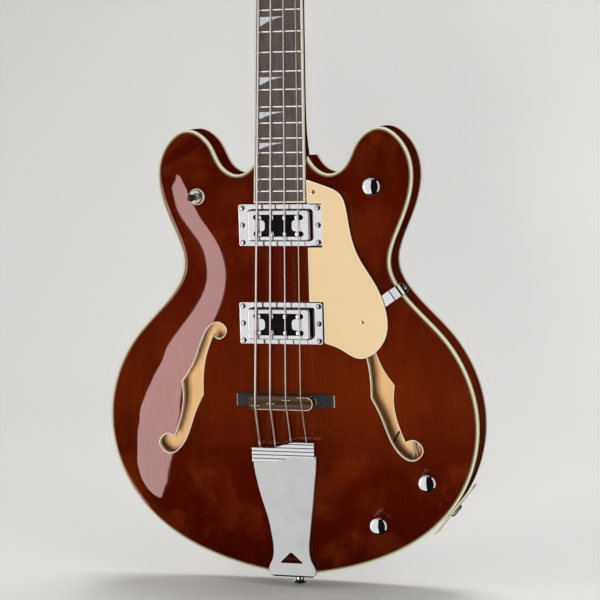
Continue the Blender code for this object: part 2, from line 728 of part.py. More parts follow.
def facing_back():
    """Turns a piece made along Z so that it points to the back, along Y."""
    return Matrix.Rotation(-math.pi / 2, 4, "X")


def facing_front():
    return Matrix.Rotation(math.pi / 2, 4, "X")


def build_ledge(root):
    """The wood between the board's end and the arched top."""
    rings = []
    for z in np.linspace(joint_z() + 3 * MM, NUT.z - BOARD_LENGTH * math.cos(NECK_ANGLE), 6):
        distance = (NUT.z - z) / math.cos(NECK_ANGLE)
        half = board_half_width(distance)
        front = neck_point(0, NECK_FRONT, -distance).y
        across = (-half, -half / 3, half / 3, half)
        bottom = [(x, top_y(x, min(z, joint_z())) - ARCH_GAP, z) for x in across]
        rings.append([(half, front, z), (-half, front, z)] + bottom)
    return solid("ledge", loft(rings), "walnut_lacquer", root, hidden=True)


def build_head(root):
    half = thinned(spline(np.array(HEAD_HALF) * MM, end=(-1, 0)), math.radians(16), 40 * MM)
    loop = np.vstack([half, half[::-1][1:] * (-1, 1)])
    head = solid("head", slab(loop, 0, HEAD_THICKNESS), "walnut_lacquer", root, hidden=True)
    head.matrix_local = HEAD_FRAME
    return head


def build_board(root):
    """The fingerboard with its frets, the binding along its sides and end, and the nut."""
    stations = [(1 * GAP, 0)]
    for number in range(1, FRETS + 1):
        at = fret_distance(number)
        stations += [(at - FRET_WIDTH / 2, 0), (at - FRET_CROWN / 2, FRET_HEIGHT)]
        stations += [(at + FRET_CROWN / 2, FRET_HEIGHT), (at + FRET_WIDTH / 2, 0)]
    stations.append((BOARD_LENGTH - BOARD_BINDING - GAP, 0))
    rings = []
    for distance, rise in stations:
        half = board_half_width(distance) - BOARD_BINDING - GAP
        upper = [(x, crown_drop(x) - rise) for x in (-half, -half / 3, half / 3, half)]
        section = [(half, BOARD_THICKNESS), (-half, BOARD_THICKNESS)] + upper
        rings.append([neck_point(x, y, -distance) for x, y in section])
    solid("fingerboard", loft(rings), "rosewood", root)
    near, far = board_half_width(0), board_half_width(BOARD_LENGTH)
    wall = BOARD_BINDING
    loop = [(-near, -GAP), (-far, -BOARD_LENGTH), (far, -BOARD_LENGTH), (near, -GAP), (near - wall, -GAP),
            (far - wall, wall - BOARD_LENGTH), (wall - far, wall - BOARD_LENGTH), (wall - near, -GAP)]
    binding = slab(np.array(loop), crown_drop(near), BOARD_THICKNESS)
    solid("fingerboard_binding", binding, "cream_binding", root).matrix_local = NECK_FRAME
    build_nut(root)


def nut_x(index):
    return -NUT_SPREAD / 2 + NUT_SPREAD * index / (len(STRINGS) - 1)


def build_nut(root):
    top = -NUT_ACTION - 1.2 * MM
    base = NECK_FRONT - GAP
    half = NUT_WIDTH / 2
    loop = [(half, base), (half, top)]
    for index in reversed(range(len(STRINGS))):
        diameter = STRINGS[index][1]
        wide = diameter / 2 + GAP
        floor = -NUT_ACTION + GAP
        middle = nut_x(index)
        loop += [(middle + wide, top), (middle + 0.85 * wide, floor)]
        loop += [(middle - 0.85 * wide, floor), (middle - wide, top)]
    loop += [(-half, top), (-half, base)]
    rings = [[neck_point(x, y, z) for x, y in loop] for z in (GAP, GAP + NUT_THICKNESS)]
    solid("nut", loft(rings), "bone", root)


def saddle_point(index):
    """Where the string crosses the bridge saddle."""
    _, diameter, across, extra = STRINGS[index]
    return neck_point(across, -SADDLE_ACTION - diameter / 2, -SCALE - extra)


def string_middle(height):
    """The line midway between the outer strings, at a height on the body."""
    saddle = (STRINGS[0][2] + STRINGS[-1][2]) / 2
    return saddle * (NUT.z - height) / (NUT.z - saddle_point(0).z)


def tail_top(x):
    """The tailpiece's top edge there, which steps up from the bass side to the treble side."""
    share = min(max((x + 14 * MM) / (28 * MM), 0), 1)
    return TAIL_HEAD_Z - TAIL_STEP * (1 - share * share * (3 - 2 * share))


def tail_point(index):
    across = -TAIL_SPREAD / 2 + TAIL_SPREAD * index / (len(STRINGS) - 1) - 0.9 * MM
    return Vector((across, -TAIL_STRING_FRONT, tail_top(across) - TAIL_LIP[1] / 2))


def string_route(index):
    """The string from the tailpiece over saddle and nut, and round its tuner's post."""
    name, diameter, _, _ = STRINGS[index]
    _, side, height, across = TUNERS[index]
    nut = neck_point(nut_x(index), -NUT_ACTION - diameter / 2, NUT_THICKNESS / 2)
    start = HEAD_FRAME.inverted() @ nut
    radius = POST_RADIUS + GAP + diameter / 2
    centre = np.array((side * across, height))
    away = np.array((start.x, start.z)) - centre
    lean = math.acos(radius / np.linalg.norm(away))
    first = math.atan2(away[1], away[0]) - side * lean
    pitch = diameter + WINDING_GAP
    winding = []
    for step in range(int(WINDING_TURNS * WINDING_POINTS) + 1):
        turn = step / WINDING_POINTS
        angle = first - side * turn * 2 * math.pi
        depth = -WINDING_TOP + pitch * turn
        spot = centre + radius * np.array((math.cos(angle), math.sin(angle)))
        winding.append(Vector((spot[0], depth, spot[1])))
    least = least_gap(winding, diameter)
    print(f"string {name}: least gap between its turns {least * 1000:.2f} mm")
    ahead = (winding[-1] - winding[-2]).normalized()
    winding.append(winding[-1] + ahead * diameter)
    saddle, tail = saddle_point(index), tail_point(index)
    behind_nut = nut + (nut - saddle).normalized() * (NUT_THICKNESS / 2 + 1 * MM)
    end = tail + (tail - saddle).normalized() * TAIL_LIP[1]
    return [end, saddle, nut, behind_nut] + [HEAD_FRAME @ point for point in winding]


def least_gap(points, diameter):
    """The smallest clear distance between turns of a tube along the points."""
    spots = np.array([tuple(point) for point in points])
    apart = np.linalg.norm(spots[:, None] - spots[None], axis=2)
    steps = np.abs(np.subtract.outer(np.arange(len(spots)), np.arange(len(spots))))
    return apart[steps > WINDING_POINTS // 2].min() - diameter


def tube(name, points, diameter, finish, parent, sides=1):
    curve = bpy.data.curves.new(name, "CURVE")
    curve.dimensions = "3D"
    curve.bevel_depth = diameter / 2
    curve.bevel_resolution = sides
    curve.use_fill_caps = True
    line = curve.splines.new("POLY")
    line.points.add(len(points) - 1)
    for spot, point in zip(line.points, points):
        spot.co = (*point, 1)
    curve.materials.append(material(finish))
    return place(bpy.data.objects.new(name, curve), parent)


def build_strings(root):
    for index, (name, diameter, _, _) in enumerate(STRINGS):
        tube(f"string_{name}", string_route(index), diameter, "steel", root)


def build_tuners(root):
    """Four enclosed machines on the back of the head: housing, post and key."""
    width, tall, deep = HOUSING
    behind = HEAD_THICKNESS + GAP
    for name, side, height, across in TUNERS:
        frame = HEAD_FRAME @ Matrix.Translation((side * across, 0, height))
        loop = rounded_rectangle(width, tall, 4 * MM, 1, 2)
        housing = solid(f"tuner_{name}_housing", slab(loop, behind, behind + deep), "chrome", root)
        housing.matrix_local = frame
        round_post = POST_RADIUS + RUN_GAP
        bore = turned([(round_post, -1 * MM), (round_post, behind + deep - 3 * MM)], 12)
        bore = solid(f"{name}_post_bore", bore, "chrome", root, hidden=True)
        bore.matrix_local = frame @ facing_back()
        cut(housing, bore)
        key_line = (frame @ Matrix.Translation((0, behind + deep / 2, -KEY_OFFSET - POST_RADIUS))
                    @ Matrix.Rotation(side * math.pi / 2, 4, "Y"))
        key_bore = turned([(KEY_RADIUS + RUN_GAP, 2 * MM), (KEY_RADIUS + RUN_GAP, width)], 10)
        key_bore = solid(f"{name}_key_bore", key_bore, "chrome", root, hidden=True)
        key_bore.matrix_local = key_line
        cut(housing, key_bore)
        flange = POST_RADIUS + 1.2 * MM
        profile = [(POST_RADIUS, -behind - deep + 3.6 * MM), (POST_RADIUS, POST_RISE - 3 * MM),
                   (flange, POST_RISE - 2 * MM), (flange, POST_RISE - 0.8 * MM), (POST_RADIUS, POST_RISE)]
        post = solid(f"tuner_{name}_post", turned(profile, 12), "chrome", root)
        post.matrix_local = frame @ facing_front()
        slot = box((-1.6 * MM, -10 * MM, POST_RISE - 5 * MM), (1.6 * MM, 10 * MM, POST_RISE + 1 * MM))
        slot = solid(f"{name}_post_slot", slot, "chrome", root, hidden=True)
        slot.matrix_local = frame @ facing_front()
        cut(post, slot)
        build_key(name, width, key_line, root)


def build_key(name, width, line, root):
    """A shaft from inside the housing, a collar, and a flattened oval button."""
    out = width / 2
    profile = [(KEY_RADIUS, 2.6 * MM), (KEY_RADIUS, out + 1 * MM), (4 * MM, out + 1.6 * MM),
               (4 * MM, out + 4 * MM), (KEY_RADIUS, out + 5 * MM), (3 * MM, out + 12 * MM),
               (7.5 * MM, out + 15 * MM), (11 * MM, out + 20 * MM), (12 * MM, out + 25 * MM),
               (10.5 * MM, out + 31 * MM), (6 * MM, out + 35 * MM), (2 * MM, out + 36 * MM)]
    bm = turned(profile, 10)
    for vert in bm.verts:
        if vert.co.z > out + 11 * MM:
            flat = min(1, (vert.co.z - out - 11 * MM) / (6 * MM))
            vert.co.y *= 1 - 0.68 * flat
    key = solid(f"tuner_{name}_key", bm, "chrome", root)
    key.matrix_local = line


def build_pickups(root):
    for name, height, front, stand in pickups():
        middle = (string_middle(height), height)
        shape = rounded_rectangle(*RING, 2.5 * MM, 16 * MM, 2)
        outer, opening = shape + middle, matched(shape, *RING_OPENING, 4 * MM) + middle
        seat_outer = top_y(*outer.T) - ARCH_GAP
        seat_inner = top_y(*opening.T) - ARCH_GAP
        ring = frame_of(outer, opening, -front, -front, seat_inner, seat_outer)
        solid(f"{name}_pickup_ring", ring, "chrome", root)
        face = -front - stand
        cover = slab(rounded_rectangle(*COVER, 3 * MM, 1, 2) + middle, face, face + COVER_DEPTH)
        cover = solid(f"{name}_pickup_cover", cover, "chrome", root)
        soften(cover, 0.7 * MM)
        wide, tall = (size - 2 * COVER_WALL for size in COVER)
        hollow = rounded_rectangle(wide, tall, 2 * MM, 1, 2) + middle
        within = slab(hollow, face + COVER_WALL, face + COVER_DEPTH + 2 * MM)
        cut(cover, solid(f"{name}_cover_hollow", within, "chrome", root, hidden=True))
        window = slab(cover_window() + middle, face - 1 * MM, face + 2 * MM)
        cut(cover, solid(f"{name}_cover_window", window, "chrome", root, hidden=True))
        build_coils(name, height, face, inset(hollow, GAP), root)


def matched(loop, width, height, radius):
    """The loop's points drawn in to a smaller rectangle with round corners."""
    outer = np.abs(loop).max(axis=0)
    scaled = loop / outer * (width / 2, height / 2)
    corner = np.array((width / 2 - radius, height / 2 - radius))
    beyond = np.abs(scaled) - corner
    for i, (over, spot) in enumerate(zip(beyond, scaled)):
        if over.min() > 0:
            reach = over / np.linalg.norm(over) * radius
            scaled[i] = np.sign(spot) * (corner + reach)
    return scaled


def cover_window():
    """The dumbbell opening: two long slots with round ends, joined between two round tongues."""
    wide, tall, slot = COVER_SLOT
    loop = []
    for sx, sz in ((1, 1), (-1, 1), (-1, -1), (1, -1)):
        end = [(wide / 2 - slot / 2 + slot / 2 * math.cos(a), tall / 2 - slot / 2 + slot / 2 * math.sin(a))
               for a in (math.pi / 2, math.pi / 4, 0, -math.pi / 4, -math.pi / 2)]
        tip = wide / 2 - COVER_TONGUE
        rounding = 4 * MM
        base = tall / 2 - slot
        tongue = [(tip + rounding * (1 - math.sin(a)), base - rounding * (1 - math.cos(a)))
                  for a in (0, math.pi / 4, math.pi / 2)]
        run = [(sx * x, sz * z) for x, z in end + tongue]
        loop += run if sx * sz < 0 else run[::-1]
    return np.array(loop)


def build_coils(name, height, face, outline, root):
    """The black coil former inside a cover, with a pole screw under each string, twice over."""
    front = face + COVER_WALL + 0.8 * MM
    former = slab(outline, front, face + COVER_DEPTH - 1 * MM)
    coils = solid(f"{name}_pickup_coils", former, "black_plastic", root)
    share = (height - saddle_point(0).z) / (NUT.z - saddle_point(0).z)
    for index in range(len(STRINGS)):
        across = STRINGS[index][2] * (1 - share) + nut_x(index) * share
        for row in (-1, 1):
            profile = [(POLE_RADIUS, -1 * MM), (POLE_RADIUS, 2.2 * MM), (POLE_RADIUS * 0.6, 2.7 * MM)]
            head = turned(profile, 8)
            pole = solid(f"{name}_pole_{index}_{row}", head, "steel", root, hidden=True)
            spot = (across, front, height + row * POLE_ROW)
            pole.matrix_local = Matrix.Translation(spot) @ facing_front()
            cut(coils, pole, "UNION")


def bridge_z():
    """The middle of the bridge, between the first and the last string's wires."""
    return (saddle_point(0).z + saddle_point(len(STRINGS) - 1).z) / 2 - 2.5 * MM


def saddle_front():
    """The block's front, far enough behind the strings for the wires under them."""
    return max(saddle_point(i).y + STRINGS[i][1] / 2 for i in range(len(STRINGS))) + GAP + SADDLE_WIRE[2]


def build_bridge(root):
    """A foot on the arch with two posts, a wheel on each, and the block with a wire under each string."""
    middle = bridge_z()
    rings = []
    shoulder = SADDLE_LENGTH / 2 + 3 * MM
    for x in (*np.linspace(-1, -0.72, 3), *np.linspace(-0.6, 0.6, 6), *np.linspace(0.72, 1, 3)):
        x *= BRIDGE_LENGTH / 2
        share = min(max((abs(x) - shoulder + 5 * MM) / (5 * MM), 0), 1)
        front = -BRIDGE_MIDDLE + (BRIDGE_MIDDLE - BRIDGE_TIP) * share
        ring = [(x, front, middle + BRIDGE_WIDTH / 2), (x, front, middle - BRIDGE_WIDTH / 2)]
        for z in (middle - BRIDGE_WIDTH / 2, middle, middle + BRIDGE_WIDTH / 2):
            ring.append((x, top_y(x, z) - ARCH_GAP, z))
        rings.append(ring)
    foot = solid("bridge_base", loft(rings), "ebony", root)
    front = saddle_front()
    under = front + SADDLE_HEIGHT
    outline = capsule(SADDLE_LENGTH, SADDLE_WIDTH, 6) + (0, middle)
    rings = [at_depth(outline, under), at_depth(outline, front + SADDLE_EDGE),
             at_depth(inset(outline, SADDLE_EDGE), front)]
    block = solid("bridge_saddle", loft(rings), "rosewood", root)
    for index, (name, diameter, _, _) in enumerate(STRINGS):
        spot = saddle_point(index)
        crown = spot.y + diameter / 2 + GAP
        long, wide, _ = np.array(SADDLE_WIRE) / 2
        section = [(front + 1 * MM, wide), (crown + 0.7 * MM, wide), (crown, 0.35 * wide),
                   (crown, -0.35 * wide), (crown + 0.7 * MM, -wide), (front + 1 * MM, -wide)]
        wire = loft([[(spot.x + side * long, y, spot.z + z) for y, z in section] for side in (-1, 1)])
        cut(block, solid(f"{name}_saddle_wire", wire, "steel", root, hidden=True), "UNION")
    for side, where in ((-1, "bass"), (1, "treble")):
        x = side * POST_SPACING / 2
        post = solid(f"{where}_bridge_post", turned([(BRIDGE_POST_RADIUS, -3 * MM),
                     (BRIDGE_POST_RADIUS, -under - BRIDGE_MIDDLE + 5 * MM)], 10), "steel", root, hidden=True)
        post.matrix_local = Matrix.Translation((x, -BRIDGE_MIDDLE, middle)) @ facing_front()
        cut(foot, post, "UNION")
        bore = solid(f"{where}_saddle_bore", turned([(BRIDGE_POST_RADIUS + RUN_GAP, -1 * MM),
                     (BRIDGE_POST_RADIUS + RUN_GAP, 8 * MM)], 10), "steel", root, hidden=True)
        bore.matrix_local = Matrix.Translation((x, under, middle)) @ facing_front()
        cut(block, bore)
        inner, outer = BRIDGE_POST_RADIUS + RUN_GAP, WHEEL_RADIUS
        wheel = turned_ring([(inner, 0), (outer, 0), (outer, WHEEL_THICKNESS), (inner, WHEEL_THICKNESS)], 16)
        wheel = solid(f"{where}_thumbwheel", wheel, "steel", root)
        wheel.matrix_local = Matrix.Translation((x, under + GAP + WHEEL_THICKNESS, middle)) @ facing_front()


def capsule(length, width, steps):
    """A bar with half-round ends, about the origin."""
    radius = width / 2
    loop = []
    for side, start in ((1, -math.pi / 2), (-1, math.pi / 2)):
        for step in range(steps + 1):
            angle = start + math.pi * step / steps
            loop.append((side * (length / 2 - radius) + radius * math.cos(angle), radius * math.sin(angle)))
    return np.array(loop)


def build_tailpiece(root):
    """A bent sheet from under the strap button up to the ribbed head that holds the strings."""
    head = (-TAIL_HEAD_FRONT + TAIL_HEAD_PLATE - 0.6 * MM, TAIL_EDGES[0][0] * MM)
    foot = (-TAIL_FOOT_FRONT, TAIL_EDGES[-1][0] * MM)
    path, sides = [], []
    for height, bass, treble in spline(np.array(TAIL_EDGES) * MM, per_span=2):
        share = (height - foot[1]) / (head[1] - foot[1])
        path.append((foot[0] + (head[0] - foot[0]) * share, height))
        sides.append((bass, treble))
    bottom = -TAIL_SHEET - GAP
    for angle in np.radians((30, 60, 90)):
        path.append((foot[0] + TAIL_BEND * (1 - math.cos(angle)),
                     bottom + TAIL_BEND * (1 - math.sin(angle))))
        sides.append((-25 * MM + 3 * MM * angle, 26 * MM - 3 * MM * angle))
    path.append((TAIL_TAB, bottom))
    sides.append((-17 * MM, 17 * MM))
    path = np.array(path)
    ahead = np.diff(path, axis=0)
    ahead /= np.linalg.norm(ahead, axis=1)[:, None]
    ahead = np.vstack([ahead[:1], ahead[1:] + ahead[:-1], ahead[-1:]])
    ahead /= np.linalg.norm(ahead, axis=1)[:, None]
    inner = path + np.stack([-ahead[:, 1], ahead[:, 0]], axis=1) * TAIL_SHEET
    rings = []
    for (bass, treble), outer, under in zip(sides, path, inner):
        rings.append([(bass, *outer), (treble, *outer), (treble, *under), (bass, *under)])
    plate = solid("tailpiece", loft(rings), "chrome", root)
    cut(plate, tail_head(root), "UNION")
    window = np.array([(0.3, 27.5), (-13.5, 14.2), (13.8, 14.2)]) * MM
    cut(plate, solid("tail_window", slab(window, -16 * MM, 3 * MM), "chrome", root, hidden=True))
    screw = turned([(2.4 * MM, -10 * MM), (2.4 * MM, 20 * MM)], 10)
    screw = solid("tail_screw_hole", screw, "chrome", root, hidden=True)
    screw.location = (0, RIM_DEPTH / 2, -6 * MM)
    cut(plate, screw)


def tail_head(root):
    """The ribbed plate and the slotted lip behind its top edge. Both edges step between the pairs."""
    bass, treble = -38.6 * MM, 37.4 * MM
    back = -TAIL_HEAD_FRONT + TAIL_HEAD_PLATE
    levels = []
    z = TAIL_HEAD_Z + 2 * MM
    while z > TAIL_HEAD_Z - TAIL_STEP - TAIL_HEAD_HEIGHT - TAIL_RIB:
        levels += [(z, 0.9 * MM), (z - 0.18 * TAIL_RIB, 0), (z - 0.82 * TAIL_RIB, 0)]
        z -= TAIL_RIB
    rings = []
    for z, groove in levels:
        front = -TAIL_HEAD_FRONT + groove
        rings.append([(bass, front, z), (treble, front, z), (treble, back, z), (bass, back, z)])
    head = solid("tail_head", loft(rings), "chrome", root, hidden=True)
    across = np.array([bass - 1 * MM, *np.linspace(-14, 14, 9) * MM, treble + 1 * MM])
    top = np.array([(x, tail_top(x)) for x in across])
    bottom = top - (0, TAIL_HEAD_HEIGHT)
    band = slab(np.vstack([bottom, top[::-1]]), -TAIL_HEAD_FRONT - 2 * MM, back + 2 * MM)
    cut(head, solid("tail_band", band, "chrome", root, hidden=True), "INTERSECT")
    deep = -TAIL_HEAD_FRONT + TAIL_LIP[0]
    edge = np.array([(x, tail_top(x)) for x in (bass, *across[1:-1], treble)])
    lip = slab(np.vstack([edge - (0, TAIL_LIP[1]), edge[::-1]]), back - 0.5 * MM, deep)
    cut(head, solid("tail_lip", lip, "chrome", root, hidden=True), "UNION")
    for index, (name, diameter, _, _) in enumerate(STRINGS):
        spot = tail_point(index)
        wide = diameter / 2 + 2 * GAP
        low, high = spot.z - 8 * MM, spot.z + 6 * MM
        notch = box((spot.x - wide, back + 0.1 * MM, low), (spot.x + wide, deep + 1 * MM, high))
        cut(head, solid(f"{name}_tail_notch", notch, "chrome", root, hidden=True))
    return head


def build_pickguard(root):
    """The raised guard, notched round both pickup rings, with its spacer and its bent bracket."""
    left = GUARD_EDGE[0][0] * MM
    tall = RING[1] / 2 + GUARD_RING_GAP
    edge = thinned(spline(np.array(GUARD_EDGE) * MM), math.radians(12), 40 * MM)
    (_, upper, _, _), (_, lower, _, _) = pickups()
    beside_lower, beside_upper = (string_middle(z) + RING[0] / 2 + GUARD_RING_GAP for z in (lower, upper))
    edge[-1][0] = beside_lower
    notches = [(beside_lower, lower + tall), (left, lower + tall), (left, upper - tall),
               (beside_upper, upper - tall), (beside_upper, upper + tall), (left, upper + tall)]
    loop = np.vstack([edge, notches])
    guard = slab(loop, -GUARD_FRONT, GUARD_THICKNESS - GUARD_FRONT)
    guard = solid("pickguard", guard, "cream_plastic", root)
    soften(guard, 0.9 * MM)
    x, z = GUARD_SCREW
    back = GUARD_FRONT - GUARD_THICKNESS - GAP
    seat = -top_y(x, z) + ARCH_GAP + GAP
    spacer = turned([(3.2 * MM, seat), (3.2 * MM, back)], 12)
    spacer = solid("pickguard_spacer", spacer, "black_plastic", root)
    spacer.matrix_local = Matrix.Translation((x, 0, z)) @ facing_front()
    build_bracket(back, root)


def outline_near(x, z):
    """The outline's closest point and its outward direction there."""
    apart = np.hypot(*(BODY_CURVE - (x, z)).T)
    i = int(apart.argmin())
    ahead = BODY_CURVE[i + 1] - BODY_CURVE[i - 1]
    ahead /= np.linalg.norm(ahead)
    return BODY_CURVE[i], np.array((ahead[1], -ahead[0]))


def build_bracket(guard_back, root):
    """A strip from behind the pickguard, over the binding and down the rim."""
    spot, out = outline_near(*BRACKET_AT)
    thick = BRACKET_THICKNESS
    clear = 1.0 * MM
    path = [(-32 * MM, -guard_back), (-19 * MM, -guard_back), (-15 * MM, -guard_back + 1.5 * MM),
            (-1 * MM, -3.8 * MM), (clear + thick, -1.6 * MM), (clear + thick, BRACKET_DROP)]
    path = np.array(path)
    ahead = np.gradient(path, axis=0)
    ahead /= np.linalg.norm(ahead, axis=1)[:, None]
    inner = path + np.stack([-ahead[:, 1], ahead[:, 0]], axis=1) * thick
    inner[-1] = (clear, BRACKET_DROP)
    inner[-2] = (clear, -0.3 * MM)
    rings = []
    for half in (-BRACKET_WIDTH / 2, BRACKET_WIDTH / 2):
        rings.append([(r, y, half) for r, y in [*path, *inner[::-1]]])
    strip = solid("pickguard_bracket", loft(rings), "chrome", root)
    strip.matrix_local = Matrix.Translation((spot[0], 0, spot[1])) @ turn_to(out)


def turn_to(out):
    """Turns X to a direction in the body's plane, Y kept."""
    return Matrix.Rotation(-math.atan2(out[1], out[0]), 4, "Y")


def build_controls(root):
    for name, x, z in KNOBS:
        front = top_y(x, z)
        # Heights below run from the plate's front face forwards
        can = -PLATE - POT_CLEAR
        bore = SHAFT_RADIUS + RUN_GAP
        profile = [(bore, 3.2 * MM), (BUSH_RADIUS, 3.2 * MM), (BUSH_RADIUS, can), (POT_RADIUS, can),
                   (POT_RADIUS, can - POT_DEPTH), (bore, can - POT_DEPTH)]
        pot = solid(f"{name}_pot", turned_ring(profile, 14), "steel", root)
        axis = Matrix.Translation((x, front, z)) @ facing_front()
        pot.matrix_local = axis
        base, top = KNOB_CLEAR, KNOB_CLEAR + KNOB_HEIGHT
        dome = [(KNOB_RADIUS * math.cos(a), top - 5 * MM + 5 * MM * math.sin(a))
                for a in np.radians((0, 25, 50, 72))]
        profile = [(SHAFT_RADIUS, can - POT_DEPTH + 1 * MM), (SHAFT_RADIUS, base),
                   (KNOB_RADIUS - 0.6 * MM, base), (KNOB_RADIUS, base + 0.8 * MM)] + dome
        knob = solid(f"{name}_knob", turned(profile), "chrome", root)
        knob.matrix_local = axis
    build_toggle(root)


def build_toggle(root):
    """Three-way switch: a can under the top, a threaded bush, its nut, and the lever."""
    x, z = TOGGLE_AT
    front = top_y(x, z)
    axis = Matrix.Translation((x, front, z)) @ facing_front()
    can = -PLATE - POT_CLEAR
    bore = TOGGLE_BORE
    profile = [(bore, 4 * MM), (TOGGLE_BUSH, 4 * MM), (TOGGLE_BUSH, can), (11 * MM, can),
               (11 * MM, can - 22 * MM), (bore, can - 22 * MM)]
    solid("toggle_switch", turned_ring(profile, 12), "steel", root).matrix_local = axis
    profile = [(TOGGLE_BUSH + GAP, 3.4 * MM), (8.3 * MM, 2.4 * MM), (8.3 * MM, 1.2 * MM),
               (TOGGLE_BUSH + GAP, 1.2 * MM)]
    solid("toggle_nut", turned_ring(profile, 18), "chrome", root).matrix_local = axis
    ball = TOGGLE_BORE - RUN_GAP
    profile = [(1.3 * MM, -10 * MM), (0.45 * ball, -0.9 * ball), (0.85 * ball, -0.52 * ball), (ball, 0),
               (0.85 * ball, 0.52 * ball), (0.45 * ball, 0.9 * ball), (1.5 * MM, 12 * MM),
               (2.6 * MM, 12.5 * MM), (3.6 * MM, 16 * MM), (3.7 * MM, 20 * MM), (2.6 * MM, 23 * MM),
               (1 * MM, 23.8 * MM)]
    solid("toggle_lever", turned(profile, 12), "black_plastic", root).matrix_local = axis


def build_jack(root):
    """The output socket in its plate on the lower treble rim."""
    spot, out = outline_near(*JACK_AT)
    length, tall, thick = JACK_PLATE
    rear = GAP + 0.1 * MM
    outline = rounded_rectangle(tall, length, 3 * MM, 1, 3)
    rings = [[(depth, z, x) for z, x in outline] for depth in (rear, rear + thick)]
    line = Matrix.Translation((spot[0], RIM_DEPTH / 2, spot[1])) @ turn_to(out)
    plate = solid("jack_plate", loft(rings), "chrome", root)
    plate.matrix_local = line
    along = Matrix.Rotation(math.pi / 2, 4, "Y")
    hole = turned([(JACK_BARREL + GAP, -10 * MM), (JACK_BARREL + GAP, 8 * MM)])
    hole = solid("jack_hole", hole, "chrome", root, hidden=True)
    hole.matrix_local = line @ along
    cut(plate, hole)
    cut(bpy.data.objects["rim"], hole)
    face = rear + thick
    behind = -RIM_THICKNESS - 2 * MM
    profile = [(JACK_BORE, face + 3.2 * MM), (JACK_BARREL, face + 3.2 * MM), (JACK_BARREL, behind),
               (9 * MM, behind), (9 * MM, -30 * MM), (JACK_BORE, -30 * MM)]
    solid("jack_socket", turned_ring(profile), "chrome", root).matrix_local = line @ along
    bore = JACK_BARREL + RUN_GAP
    profile = [(bore, face + GAP), (8 * MM, face + GAP), (8 * MM, face + 2.6 * MM), (bore, face + 2.6 * MM)]
    solid("jack_nut", turned_ring(profile), "chrome", root).matrix_local = line @ along


def strap_button(name, screw, root):
    """A button along Z, its waist between the foot and the wide outer flange."""
    high = BUTTON_HEIGHT
    profile = [(SCREW_RADIUS, -screw), (SCREW_RADIUS, 0), (5.4 * MM, 0), (5.2 * MM, 1.2 * MM),
               (BUTTON_WAIST, 2.6 * MM), (BUTTON_WAIST, high - 4 * MM),
               (BUTTON_RADIUS, high - 1.8 * MM), (BUTTON_RADIUS, high - 0.5 * MM),
               (BUTTON_RADIUS - 0.6 * MM, high)]
    return solid(name, turned(profile, 12), "chrome", root)


def build_strap_buttons(root):
    """One through the tailpiece's tab into the body's end, one on the back behind the neck."""
    end = Matrix.Translation((0, RIM_DEPTH / 2, -TAIL_SHEET - 2 * GAP)) @ Matrix.Rotation(math.pi, 4, "X")
    rear = back_y(0, HEEL_BUTTON_Z) + ARCH_GAP
    heel = Matrix.Translation((0, rear, HEEL_BUTTON_Z)) @ facing_back()
    heel_screw = rear - neck_y(NECK_FRONT + TENON_DEPTH, HEEL_BUTTON_Z) + HEEL_BITE
    buttons = (("end", end, SCREW_LENGTH, ("rim", "centre_block")),
               ("heel", heel, heel_screw, ("back_plate", "centre_block", "neck")))
    for name, line, screw, pieces in buttons:
        strap_button(f"{name}_strap_button", screw, root).matrix_local = line
        radius = SCREW_RADIUS + RUN_GAP
        drill = turned([(radius, -screw - 1 * MM), (radius, 6 * MM)], 10)
        bore = solid(f"{name}_button_bore", drill, "chrome", root, hidden=True)
        bore.matrix_local = line
        for piece in pieces:
            cut(bpy.data.objects[piece], bore)


def build_wires(root):
    """The two leads that show through the treble f-hole, from the tone pot to the horn's pot."""
    route = [(156, 9, 124.5), (153, 19, 134), (143, 26, 146), (131, 29, 172), (124, 29, 215),
             (116, 28, 270), (106, 26, 330), (101, 20, 385), (103.5, 10, 414.4)]
    beside = [(160.5, 9, 124.2), (157, 22, 136), (146, 29, 141), (127, 32, 166), (119, 32, 215),
              (111, 31, 270), (101, 29, 330), (96, 23, 385), (99.5, 10, 415.0)]
    for name, points, finish in (("white_lead", route, "white_wire"), ("blue_lead", beside, "blue_wire")):
        tube(name, spline(np.array(points) * MM, per_span=2), 1.6 * MM, finish, root, sides=1)


def main():
    for obj in list(bpy.data.objects):
        bpy.data.objects.remove(obj)
    root = empty("guitar", None, location=-SEAT)
    build_body(root)
    build_neck(root)
    build_board(root)
    build_strings(root)
    build_tuners(root)
    build_pickups(root)
    build_bridge(root)
    build_tailpiece(root)
    build_pickguard(root)
    build_controls(root)
    build_jack(root)
    build_strap_buttons(root)
    build_wires(root)


main()
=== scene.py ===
import math

import bmesh
import bpy
import numpy as np
from mathutils import Matrix, Vector
from mathutils.geometry import delaunay_2d_cdt


